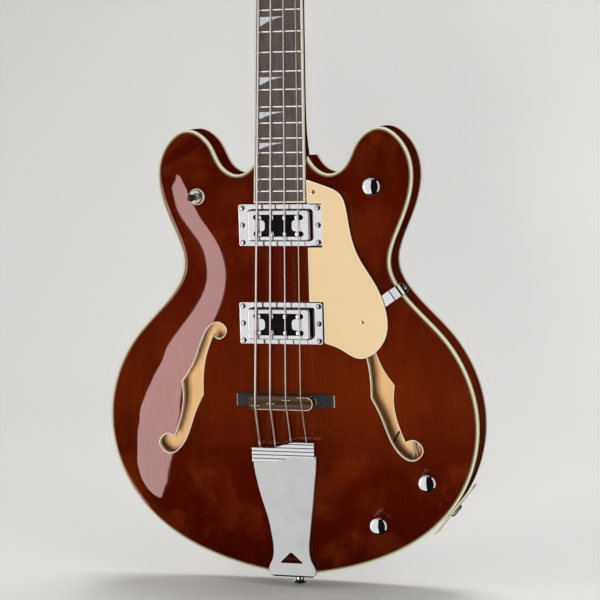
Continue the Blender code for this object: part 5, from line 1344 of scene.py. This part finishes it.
def makeFoot():
    look = bridgeLook
    middle, under = bridgeHeight(), blockFront() + look["block"][2]
    half, end, low = look["width"] / 2, look["length"] / 2, 0.9
    rings = []
    parts = np.linspace(-1, -0.7, 14), np.linspace(-0.66, 0.66, 21), np.linspace(0.7, 1, 14)
    for x in np.concatenate(parts) * end:
        share = smooth(min(max((abs(x) - look["block"][0] / 2 + 4) / 9, 0), 1))
        face = -look["middle"] + (look["middle"] - look["tip"]) * share
        inner = 0.25 if abs(x) > end - 0.01 else 0.0
        corner = [(low + inner, half - inner), (0.3 * low + inner, half - 0.3 * low), (inner, half - low)]
        corner += [(y, -z) for y, z in corner[::-1]]
        ring = [(x, face + y, middle + z) for y, z in corner]
        ring += [(x, topDepth(x, z) + 0.15, z) for z in np.linspace(middle - half, middle + half, 5)]
        rings.append(ring)
    foot = Shape().loft(rings)
    post, pitch, tall = look["post"], look["pitch"], -under - look["middle"] + 5
    thread = [(post, -3)]
    for level in np.arange(0, tall - pitch, pitch):
        thread += [(post, level), (post - 0.28, level + pitch / 2)]
    thread += [(post, tall - 0.3), (post - 0.4, tall)]
    for side in (-1, 1):
        line = facingFront(side * look["spacing"] / 2, -look["middle"], middle)
        foot.turned(thread, 20, 1, line)
        foot.turned(look["collar"], 28, 1, line)
    top, bottom = (level - look["tip"] for level in look["cap"])
    half -= low
    cap = [(top, middle - half), (bottom, middle - half), (bottom, middle + half), (top, middle + half)]
    for side in (-1, 1):  # a pale cap on either end
        foot.loft([[(side * x, y, z) for y, z in cap] for x in (end - 0.5, end + 0.1)], slot=2)
    foot.make("bridgeFoot", ["ebony", "brass", "creamBinding"], stands="bridge_base")


def makeBlock():
    look = bridgeLook
    middle, front = bridgeHeight(), blockFront()
    long, wide, deep = look["block"]
    under, radius, edge = front + deep, wide / 2, look["edge"]
    plan = []
    for side, start in ((1, -math.pi / 2), (-1, math.pi / 2)):
        for step in range(17):
            angle, centre = start + math.pi * step / 16, side * (long / 2 - radius)
            plan.append((centre + radius * math.cos(angle), middle + radius * math.sin(angle)))
    plan = np.array(plan)
    rings = [laid(insetLoop(plan, 3.2), under - 0.1), laid(insetLoop(plan, 2.6), under - 0.9)]
    for step in range(6):
        angle = math.pi / 2 * step / 5
        loop = insetLoop(plan, edge * (1 - math.cos(angle)))
        rings.append(laid(loop, front + edge * (1 - math.sin(angle))))
    rings.append(laid(insetLoop(plan, 5.0), front - 0.35))
    block = Shape().loft(rings)
    inset, sunk, thin = look["rod"]
    rod = insetLoop(plan, inset)  # a pale line let into the block's lower and treble edge, a painted highlight on that rounded edge
    rod = np.vstack([rod[-1:], (rod[-1:] + rod[:1]) / 2, rod[:17]])
    block.tube(laid(rod, front + sunk), thin, 10, 2)
    length, thick, _ = look["wire"]
    base = front + 0.8
    for index in range(4):
        spot = saddlePoint(index)
        crown = spot.y + stringLook[index][1] / 2 + 0.12
        section = [(base, thick / 2), (crown + 0.9, thick / 2)]
        section += [(crown + 0.9 - 0.9 * math.sin(angle), thick / 2 * math.cos(angle))
                    for angle in np.linspace(0.2, math.pi - 0.2, 7)]
        section += [(crown + 0.9, -thick / 2), (base, -thick / 2)]
        rings, half = [], length / 2
        for x, pull in ((-half, 0.75), (0.4 - half, 1), (half - 0.4, 1), (half, 0.75)):
            rings.append([(spot.x + x, base + (y - base) * pull, spot.z + z) for y, z in section])
        block.loft(rings, slot=1)
    # the third colour paints the highlight line along the block's rounded edge
    block.make("bridgeBlock", ["saddleWood", "brass", "backBinding"], "bridge_saddle", sharp=40)


def knurling(least, count, depth):  # cuts so many teeth where the radius is over the least
    def squeeze(x, y, z):
        pull = 1
        if math.hypot(x, y) > least:
            pull = 1 - depth * (0.5 + 0.5 * math.cos(count * math.atan2(y, x)))
        return x * pull, y * pull, z

    return squeeze


def makeWheels():
    look = bridgeLook
    radius, thick = look["wheel"]
    half = [(2.4, 0.1), (3.6, 0), (3.9, 0.25), (radius - 0.8, 0.25), (radius - 0.5, 0.0), (radius, 0.45)]
    profile = half + [(far, thick - level) for far, level in half[::-1]]
    depth = blockFront() + look["block"][2] + 0.3 + thick
    for side, where in ((-1, "bass"), (1, "treble")):
        line = facingFront(side * look["spacing"] / 2, depth, bridgeHeight())
        wheel = Shape().turned(profile, 144, 0, line, closed=True, squeeze=knurling(radius - 0.2, 36, 0.045))
        wheel.make(f"{where}Wheel", "brass", f"{where}_thumbwheel", sharp=25)


makeTuners()
makePickups()
makeFoot()
makeBlock()
makeWheels()
print("tuners, pickups and bridge made")


# Tailpiece: a bent sheet with a window, and the ribbed head whose edges step between the string pairs

def makeTailSheet():
    look = tailLook
    headEnd = (look["plate"] - look["headFront"] - 0.6, look["edges"][0][0])
    footEnd = (-look["footFront"], look["edges"][-1][0])
    path, sides = [], []
    for height, bass, treble in splineThrough(look["edges"], perSpan=5):
        share = (height - footEnd[1]) / (headEnd[1] - footEnd[1])
        path.append((footEnd[0] + (headEnd[0] - footEnd[0]) * share, height))
        sides.append((bass, treble))
    bend, bottom = look["bend"], -look["sheet"] - 0.3
    for angle in np.radians((10, 20, 30, 45, 60, 75, 90)):
        path.append((footEnd[0] + bend * (1 - math.cos(angle)), bottom + bend * (1 - math.sin(angle))))
        sides.append((-25 + 3 * angle, 26 - 3 * angle))
    for share in (0.15, 0.4, 0.7, 0.9, 0.97, 1.0):
        path.append((bend + footEnd[0] + (look["tab"] - bend - footEnd[0]) * share, bottom))
        narrow = 17 + 3.4 * (1 - share) - 4 * max(0, share - 0.9) / 0.1
        sides.append((-narrow, narrow))
    path = np.array(path)
    ahead = np.diff(path, axis=0)
    ahead /= np.linalg.norm(ahead, axis=1)[:, None]
    ahead = np.vstack([ahead[:1], ahead[1:] + ahead[:-1], ahead[-1:]])
    ahead /= np.linalg.norm(ahead, axis=1)[:, None]
    normal = np.stack([-ahead[:, 1], ahead[:, 0]], axis=1)
    thick, edge = look["sheet"], 0.7
    corner = [(edge * (1 - math.cos(a)), edge * (1 - math.sin(a))) for a in np.radians((0, 30, 60, 90))]
    rings = []
    for (bass, treble), at, out in zip(sides, path, normal):
        section = [(bass + x, level) for x, level in corner]
        section += [(treble - x, level) for x, level in corner[::-1]]
        section += [(x, thick - level) for x, level in section[::-1]]
        rings.append([(x, *(at + out * level)) for x, level in section])
    sheet = Shape().loft(rings).make("tailSheet", "satinChrome", stands="tailpiece", sharp=40)
    knots = np.array(look["window"])
    window = []
    for before, here, after in zip(np.roll(knots, 1, axis=0), knots, np.roll(knots, -1, axis=0)):
        into, away = here - before, after - here
        into, away = into / np.linalg.norm(into), away / np.linalg.norm(away)
        first, last = here - into * look["windowRound"], here + away * look["windowRound"]
        for t in np.linspace(0, 1, 7):
            window.append((1 - t) ** 2 * first + 2 * t * (1 - t) * here + t * t * last)
    radius = look["screwHole"]
    screw = Shape().turned([(radius, -10), (radius, 20)], 24, matrix=shift(0, bodyLook["rimDepth"] / 2, -6))
    carve(sheet, [Shape().slab(window, -16, 3), screw])
    flatFaces(soften(sheet, 0.35, 2, 50))


def makeTailHead():
    look = tailLook
    bass, treble = look["headEnds"]
    back = look["plate"] - look["headFront"]
    levels = []
    top = look["headTop"] + 2
    while top > look["headTop"] - look["step"] - look["headHeight"] - look["rib"]:
        levels += [(top - share * look["rib"], sink) for share, sink in look["ribShape"]]
        top -= look["rib"]
    rings = []
    for z, sink in levels:
        front = sink - look["headFront"]
        rings.append([(bass, front + 0.5, z), (bass + 0.15, front + 0.15, z), (bass + 0.5, front, z),
                      (treble - 0.5, front, z), (treble - 0.15, front + 0.15, z), (treble, front + 0.5, z),
                      (treble, back, z), (bass, back, z)])
    # the grooves between the ribs take the dark second colour: painted shade in the grooves
    dark = [1 if upper[1] + lower[1] > 1.9 else 0 for upper, lower in zip(levels, levels[1:])]
    head = Shape().loft(rings, bands=dark).make("tailHead", ["chrome", "darkMarksAndPaintedShade"], sharp=50)
    left, right = bass - 3, treble + 3
    steps = np.array([(x, tailTop(x)) for x in (left, *np.linspace(-15, 15, 31), right)])
    above = np.vstack([steps, [(right, 200), (left, 200)]])
    below = np.vstack([[(left, 60), (right, 60)], steps[::-1] - (0, look["headHeight"])])
    carve(head, [Shape().slab(above, -40, 0), Shape().slab(below, -40, 0)])
    flatFaces(soften(head, 0.25, 2, 45))


def makeTailLip():
    look = tailLook
    bass, treble = look["headEnds"]
    reach, thick = look["lip"]
    back, deep = look["plate"] - look["headFront"], reach - look["headFront"]
    near = np.array((0, 0.12, 0.45, 1.0))
    stations = np.concatenate([bass + near, np.linspace(bass + 4, treble - 4, 44), treble - near[::-1]])
    top = np.array([(x, tailTop(x)) for x in stations])
    lip = Shape().slab(np.vstack([top - (0, thick), top[::-1]]), back - 0.3, deep)
    lip = lip.make("tailLip", "chrome", sharp=50)
    notches = []
    for index in range(4):
        spot, wide = tailPoint(index), stringLook[index][1] / 2 + 0.5
        left, right = spot.x - wide, spot.x + wide
        plan = [(left, back + 0.1), (right, back + 0.1), (right, deep + 1), (left, deep + 1)]
        notches.append(Shape().prism(plan, (spot.z - 8, spot.z + 6)))
    carve(lip, notches)
    soften(lip, 0.3, 2, 45)


# Pickguard, its screws, post and bent bracket

guardLook = {
    "edge": [(31.5, 435.2), (54, 427.4), (68, 419.5), (74.6, 403), (78.6, 378), (87.5, 352), (104.5, 324),
             (115.2, 297), (116.8, 275), (107, 254.4), (85, 243.8), (66, 253), (47, 260)],
    "front": 17.5, "thick": 3.0, "ringGap": 0.8,
    "screws": ((38.6, 422, 2.7, 1.1, 0.4), (89.9, 283.1, 1.9, 0.8, 1.1)),  # x, z, radius, height, turn
    "bracketAt": (127.5, 316.0), "bracket": (12.5, 1.6, 20), "bracketRound": 2.6, "clear": 1.0,
    "bracketScrew": [(3.4, -0.4), (3.4, 0.3), (2.9, 0.8), (1.6, 1.2), (0.1, 1.3)], "bracketScrewAt": 12,
}


def makeGuard():
    look = guardLook
    left, gap = look["edge"][0][0], look["ringGap"]
    wide, tall = (size / 2 + gap for size in pickupLook["ring"])
    upper, lower = (place[1] for place in pickupLook["places"])
    besideLower, besideUpper = stringMiddle(lower) + wide, stringMiddle(upper) + wide
    edge = splineThrough(look["edge"], perSpan=9)
    edge[-1][0] = besideLower
    notches = [(besideLower, lower + tall), (left, lower + tall), (left, upper - tall),
               (besideUpper, upper - tall), (besideUpper, upper + tall), (left, upper + tall)]
    guard = Shape().slab(np.vstack([edge, notches]), -look["front"], look["thick"] - look["front"])
    guard = guard.make("guardPlate", ["guardCream", "guardEdgeHighlight"], stands="pickguard", sharp=25)
    # the bevel takes the second, lighter colour: a painted highlight along the guard's edge
    soften(guard, 0.9, 3, 50).modifiers["edges"].material = 1
    dress("blackPlastic", "pickguard_spacer")
    makeBracket()
    screws = Shape()
    for x, z, radius, height, turn in look["screws"]:
        screwHead(screws, facingFront(x, -look["front"], z), radius, height, turn=turn)
    screws.make("guardScrews", ["nickel", "darkMarksAndPaintedShade"])


def makeBracket():
    look = guardLook
    spot, out = outlineNear(*look["bracketAt"])
    width, thick, drop = look["bracket"]
    back, near, rounding = look["front"] - look["thick"] - 0.3, look["clear"], look["bracketRound"]
    far = near + thick
    path = np.array([(-32, -back), (-7.8, -back), (-6.6, 0.3 - back), (-5.4, 1.4 - back), (-1.2, -7.2),
                     (-0.3, -5.2), (0.6, -3.4), (far - 0.2, -1.2), (far, 0.6), (far, 6), (far, drop)])
    ahead = np.gradient(path, axis=0)
    ahead /= np.linalg.norm(ahead, axis=1)[:, None]
    inner = path + np.stack([-ahead[:, 1], ahead[:, 0]], axis=1) * thick
    inner[-3:] = (near, 1.2), (near, 6), (near, drop)
    run = np.concatenate([[0], np.cumsum(np.linalg.norm(np.diff(path, axis=0), axis=1))])
    rings = []
    for left, front, behind in zip(run[-1] - run, path, inner):
        half = width / 2
        if left < rounding:
            half -= rounding - math.sqrt(max(0, rounding ** 2 - (rounding - left) ** 2))
        rings.append([(*front, -half), (*front, half), (*behind, half), (*behind, -half)])
    line = shift(spot[0], 0, spot[1]) @ turnTo(out)
    bracket = Shape().loft(rings, matrix=line)
    head = line @ shift(far, look["bracketScrewAt"], 0) @ spin(90, "Y")
    bracket.turned(look["bracketScrew"], 28, 0, head)
    # the screw's slot is a dark bar: painted shade
    bracket.prism(boxPlan(2.6, 0.35), (0.7, 1.32), 1, head)
    bracket = bracket.make("guardBracket", ["chrome", "darkMarksAndPaintedShade"], stands="pickguard_bracket", sharp=20)
    flatFaces(soften(bracket, 0.3, 2, 40))


# Knobs, pots and the switch

def makeControls():
    look = controlLook
    base, top, radius = look["clear"], look["clear"] + look["height"], look["radius"]
    profile = [(3.0, -15.4), (3.0, base + 0.4), (radius - 1.6, base + 0.35), (radius - 0.7, base),
               (radius - 0.25, base + 0.1), (radius, base + 0.6), (radius - 0.06, base + 4),
               (radius - 0.12, top - 4.6)]
    profile += [(radius - 4.4 + 4.28 * math.cos(a), top - 4.4 + 4.28 * math.sin(a) * 0.86)
                for a in np.radians((8, 20, 32, 44, 56, 68, 78))]
    profile += [(radius * 0.42, top - 0.42), (radius * 0.25, top - 0.2), (radius * 0.1, top - 0.08),
                (0.05, top - 0.06)]
    bore, corners, low, high = look["nut"]
    ways = np.radians(np.arange(6) * 60 + 12)
    hole, hexagon = ([(size * math.cos(a), size * math.sin(a)) for a in ways] for size in (bore, corners))
    nutRings = [lifted(hole, low), lifted(hexagon, low), lifted(hexagon, high), lifted(hole, high)]
    nuts = Shape()
    for name, x, z in look["knobs"]:
        line = facingFront(x, topDepth(x, z), z)
        knob = Shape().turned(profile, 64, 0, line)
        knob.make(f"{name.replace('_v', 'V')}Knob", "chrome", f"{name}_knob", sharp=40)
        nuts.turned(look["washer"], 40, 0, line, closed=True)
        nuts.loft(nutRings, closed=True, matrix=line)
        dress("steel", f"{name}_pot")
    nuts.make("potNuts", "nickel", sharp=30)


def makeSwitch():
    look = controlLook
    x, z = look["toggle"]
    line = facingFront(x, topDepth(x, z), z)
    dress("nickel", "toggle_switch")
    nut = Shape().turned(look["switchWasher"], 56, 1, line, closed=True)
    nut.turned(look["switchNut"], 160, 0, line, closed=True, squeeze=knurling(7.6, 40, 0.03))
    nut.make("switchNut", ["nickel", "creamWasher"], stands="toggle_nut", sharp=25)
    ball = look["ball"]
    profile = [(1.3, -10), (1.3, -3.6)]
    for angle in np.radians((-70, -50, -30, -10, 10, 30, 50, 66)):
        profile.append((ball * math.cos(angle), ball * math.sin(angle)))
    profile += look["lever"]
    bands = [0 if level < 11.9 else 1 for _, level in profile[:-1]]
    lever = Shape().turned(profile, 40, 0, line, bands=bands)
    lever.make("switchLever", ["nickel", "blackPlastic"], "toggle_lever", sharp=40)


# Jack and strap buttons

def makeJack():
    look = jackLook
    line = jackLine()
    outwards = line @ spin(90, "Y")
    length, tall, thick = look["plate"]
    face = 0.4 + thick
    plan = roundedBox(tall, length, 3)
    levels = ((0.2, 0.0), (thick - 0.3, 0.0), (thick + 0.15, 0.2), (face, 0.8))
    plate = Shape().loft([[(level, y, z) for y, z in insetLoop(plan, d)] for level, d in levels], matrix=line)
    screwZ, screwY = look["screws"]
    for z in (-screwZ, screwZ):
        for y in (-screwY, screwY):
            screwHead(plate, line @ shift(face, y, z) @ spin(90, "Y"), 2.3, 0.9, turn=0.3 + z)
    plate = plate.make("jackPlate", ["creamBinding", "darkMarksAndPaintedShade"], stands="jack_plate")
    carve(plate, [jackHole(look["plateHole"])])
    bore, barrel, behind = look["bore"], look["barrel"], -bodyLook["rimWall"] - 2
    profile = [(bore, face + 2.8), (bore + 0.5, face + 3.2), (barrel - 0.4, face + 3.2), (barrel, face + 2.8),
               (barrel, behind), (9, behind), (9, -30), (bore, -30)]
    Shape().turned(profile, 40, 0, outwards, closed=True).make("jackSocket", "nickel", stands="jack_socket")
    corners, flats, hole = look["nut"]
    ways = np.radians(np.arange(0, 360, 10))
    reach = np.minimum(corners, flats / np.cos(ways % (math.pi / 3) - math.pi / 6))
    circle = np.stack([np.cos(ways), np.sin(ways)], axis=1)
    inner, outer = circle * hole, circle * reach[:, None]
    rings = [lifted(inner, face + 0.3), lifted(outer, face + 0.3), lifted(outer, face + 2.3),
             lifted(outer * 0.95, face + 2.6), lifted(inner, face + 2.6)]
    Shape().loft(rings, closed=True, matrix=outwards).make("jackNut", "nickel", stands="jack_nut")


buttonLook = {
    "profile": [(2, -14), (2, 0), (5.4, 0), (5.5, 0.5), (5.0, 1.4), (4.3, 2.4), (4, 3.6), (4, 7.6),
                (4.4, 8.4), (5.6, 9.4), (6.7, 10.1), (7, 10.7), (6.8, 11.4), (6.2, 11.9), (5.4, 12),
                (3.2, 11.9), (3.0, 11.5), (0.05, 11.45)],
    "felt": [(5.7, -0.25), (6.6, -0.2), (6.7, 0.3), (6.4, 0.6), (5.2, 0.6)],
    "screw": (2.7, 0.55), "screwAt": 11.4, "endAt": -2.6, "heelAt": 436,
}


def makeStrapButtons():
    look = buttonLook
    heel = look["heelAt"]
    places = {"end": shift(0, bodyLook["rimDepth"] / 2, look["endAt"]) @ spin(180, "X"),
              "heel": shift(0, backDepth(0, heel) + 0.1, heel) @ spin(-90, "X")}
    for name, place in places.items():
        button = Shape().turned(look["profile"], 48, 0, place)
        screwHead(button, place @ shift(0, 0, look["screwAt"]), *look["screw"], shadeSlot=2)
        button.turned(look["felt"], 40, 1, place)
        finish = ["chrome", "blackPlastic", "darkMarksAndPaintedShade"]
        button.make(f"{name}StrapButton", finish, stands=f"{name}_strap_button", sharp=35)


makeTailSheet()
makeTailHead()
makeTailLip()
makeGuard()
makeControls()
makeSwitch()
makeJack()
makeStrapButtons()
print("tailpiece, guard, controls and fittings made")


# Room and lamps

roomLook = {
    "floor": (0.80, 0.79, 0.775), "sky": (1.0, 1.0, 1.0), "skyStrength": 0.27,
    "lamps": (  # name, place, aimed at, width, height, watts, colour
        ("keyLamp", (0.40, -2.20, -0.66), (0, 0, -0.8), 0.3, 0.3, 22, (1.0, 0.99, 0.975)),
        ("sideLamp", (-1.9, -1.5, 1.1), (0, 0, -0.65), 1.1, 1.1, 9, (1.0, 0.985, 0.96)),
        ("fillLamp", (1.9, -1.6, 0.9), (0, 0, -0.65), 1.1, 1.1, 10, (0.97, 0.985, 1.0)),
        ("overLamp", (0.2, 0.6, 2.3), (0, 0.3, -1.0), 1.6, 1.2, 56, (1.0, 1.0, 1.0)),
    ),
    "insideLamp": ("insideLamp", (0.40, -2.20, -0.66), (0, 0, -0.8), 0.3, 0.3, 17, (1.0, 0.99, 0.975)),
    "cloth": 0.006,
    "metalCards": (  # name, degrees to the left of the front and up, metres away, width, height, brightness
        ("leftCard", 46, 0, 1.7, 2.6, 3.6, 0.82),
        ("rightCard", -74, 0, 1.6, 1.6, 3.0, 0.75),
        ("topCard", 10, 68, 1.6, 1.2, 0.7, 0.7),
        ("rearCard", 160, 8, 1.7, 2.2, 1.6, 0.75),
    ),
    "wireCard": ("wireCard", -4, 10, 0.5, 2.2, 0.95, 1.15),  # strings and frets see it alone
    # The strip light's outline on its card, as seen from the body: millimetres to the left and up
    "strip": [(-40, 325), (-62, 300), (-70, 282), (-62, 262), (-60, 235), (-52, 215), (-47, 200), (-52, 182),
              (-58, 150), (-59, 110), (-58, 75), (-52, 55), (-45, 35), (-44, -20), (-43, -60), (-34, -90),
              (-26, -120), (-14, -150), (-6, -175), (2, -195), (14, -222), (24, -250), (36, -275), (50, -293),
              (74, -312), (94, -335), (110, -352), (126, -370), (146, -392), (170, -405), (205, -400),
              (232, -382), (244, -360), (252, -335), (252, -310), (246, -285), (240, -255), (226, -232),
              (208, -200), (192, -172), (176, -135), (160, -105), (140, -75), (134, -40), (118, -15),
              (100, 5), (84, 30), (66, 52), (58, 75), (46, 92), (36, 112), (33, 130), (36, 148), (42, 164),
              (46, 180), (46, 205), (44, 235), (44, 260), (30, 278), (12, 292), (2, 305), (-12, 325)],
    "stripFrom": (-120, 0, 230), "stripAway": 900, "stripTurn": (31, -9), "stripGlow": (8.8, 5.7, 5.6),
}


def aimed(obj, place, target):
    obj.location = place
    obj.rotation_euler = (Vector(target) - Vector(place)).to_track_quat("-Z", "Y").to_euler()


def wayFrom(left, up):  # from the body's front, so many degrees to the left and up
    left, up = math.radians(left), math.radians(up)
    return Vector((-math.sin(left) * math.cos(up), -math.cos(left) * math.cos(up), math.sin(up)))


def glow(name, colour, strength):
    material = bpy.data.materials.new(name)
    material.use_nodes = True
    tree = material.node_tree
    tree.nodes.clear()
    light = tree.nodes.new("ShaderNodeEmission")
    light.inputs[0].default_value = (*colour, 1)
    light.inputs[1].default_value = strength
    tree.links.new(light.outputs[0], tree.nodes.new("ShaderNodeOutputMaterial").inputs[0])
    material.cycles.emission_sampling = "NONE"
    return material


def stageMesh(name, verts, faces, material, onlyMirrored=False):
    mesh = bpy.data.meshes.new(name)
    mesh.from_pydata([tuple(v) for v in verts], [], faces)
    mesh.materials.append(material)
    obj = linked(name, mesh)
    obj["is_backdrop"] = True
    if onlyMirrored:
        obj.visible_camera = obj.visible_diffuse = obj.visible_transmission = False
        obj.visible_volume_scatter = obj.visible_shadow = False
    return obj


def areaLamp(name, width, height, watts, colour=(1.0, 1.0, 1.0)):
    lamp = bpy.data.lights.new(name, "AREA")
    lamp.shape = "RECTANGLE"
    lamp.size, lamp.size_y = width, height
    lamp.energy = watts
    lamp.color = colour
    return linked(name, lamp)


def makeRoom():
    look = roomLook
    finish = Finish("paleFloor")
    cloud = finish.noise(3, 3, 0.5)
    darker = tuple(part * 0.96 for part in look["floor"])
    shown = finish.blend(cloud.step(0.3, 0.7) * 0.25, look["floor"], darker)
    behind = finish.add("ShaderNodeNewGeometry", output="Backfacing") * finish.add("ShaderNodeLightPath")
    finish.shade(Base_Color=shown, Roughness=0.75 + cloud * 0.1, Specular_IOR_Level=0.2, Alpha=1 - behind)
    low = cadBox[0][2] - 0.001
    profile = [(-3.5, 0.0), (1.0, 0.0)]
    profile += [(1.0 + 0.9 * math.sin(a), 0.9 * (1 - math.cos(a))) for a in np.radians(np.arange(6, 91, 6))]
    profile += [(1.9, 4.0)]
    verts = [(x, y, low + z) for x in (-5.0, 5.0) for y, z in profile]
    count = len(profile)
    faces = [(i, count + i, count + i + 1, i + 1) for i in range(count - 1)]
    floor = stageMesh("floorAndBackdrop", verts, faces, finish.material)
    floor.data.shade_smooth()
    floor.visible_glossy = False
    world = bpy.data.worlds.new("studioWorld")
    world.use_nodes = True
    back = world.node_tree.nodes["Background"]
    back.inputs["Color"].default_value = (*look["sky"], 1)
    back.inputs["Strength"].default_value = look["skyStrength"]
    bpy.context.scene.world = world
    for name, place, target, *kind in (*look["lamps"], look["insideLamp"]):
        lamp = areaLamp(name, *kind)
        aimed(lamp, place, target)
        lamp.visible_camera = lamp.visible_glossy = False
    wall = bpy.data.collections.new("hollowWall")  # the inside lamp lights only the hollow's back wall
    wall.objects.link(bpy.data.objects["archedBack"])
    lamp.light_linking.receiver_collection = wall


def makeReflections():  # dark cloths all round, which only mirrors see, and the cards that shine in them
    look = roomLook
    white = (1.0, 1.0, 1.0)
    around = ((-2.6, -2.9), (2.6, -2.9), (2.6, 2.6), (-2.6, 2.6))
    corners = [(x, y, z) for z in (-2.8, 2.6) for x, y in around]
    faces = [(0, 1, 2, 3), (4, 5, 6, 7), (0, 1, 5, 4), (1, 2, 6, 5), (2, 3, 7, 6), (3, 0, 4, 7)]
    stageMesh("darkCloths", corners, faces, glow("darkCloth", white, look["cloth"]), True)
    seers = []
    for name, group in (("metalPieces", metalLook), ("wirePieces", ("fretWire", *wireLook))):
        kinds = {finishes[key].name for key in group}
        seers.append(bpy.data.collections.new(name))
        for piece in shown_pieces():
            if any(slot.material and slot.material.name in kinds for slot in piece.material_slots):
                seers[-1].objects.link(piece)
    middle = Vector((0, 0, -0.62))
    for name, left, up, away, width, height, bright in look["metalCards"]:
        corners = [(x, y, 0) for x, y in boxPlan(width / 2, height / 2)]
        card = stageMesh(name, corners, [(0, 1, 2, 3)], glow(name, white, bright), True)
        aimed(card, middle + wayFrom(left, up) * away, middle)
        card.light_linking.receiver_collection = seers[0]
    name, left, up, away, width, height, bright = look["wireCard"]
    lamp = areaLamp(name, width, height, bright * math.pi * width * height)
    aimed(lamp, middle + wayFrom(left, up) * away, middle + Vector((0, 0, math.sin(math.radians(up)) * away)))
    lamp.visible_camera = lamp.visible_diffuse = lamp.visible_transmission = False
    lamp.light_linking.receiver_collection = seers[1]
    out = wayFrom(*look["stripTurn"])
    leftwards = out.cross(Vector((0, 0, 1))).normalized()
    upwards = leftwards.cross(out)
    start = Vector(look["stripFrom"]) - Vector(hangerPlace) + out * look["stripAway"]
    verts = [(start + leftwards * x + upwards * z) * 0.001 for x, z in look["strip"]]
    light = glow("stripGlow", look["stripGlow"], 1.0)
    stageMesh("stripLight", verts, [tuple(range(len(verts)))], light, True)


makeRoom()
makeReflections()
bpy.context.scene.view_settings.view_transform = "Standard"
print("room and lamps made")
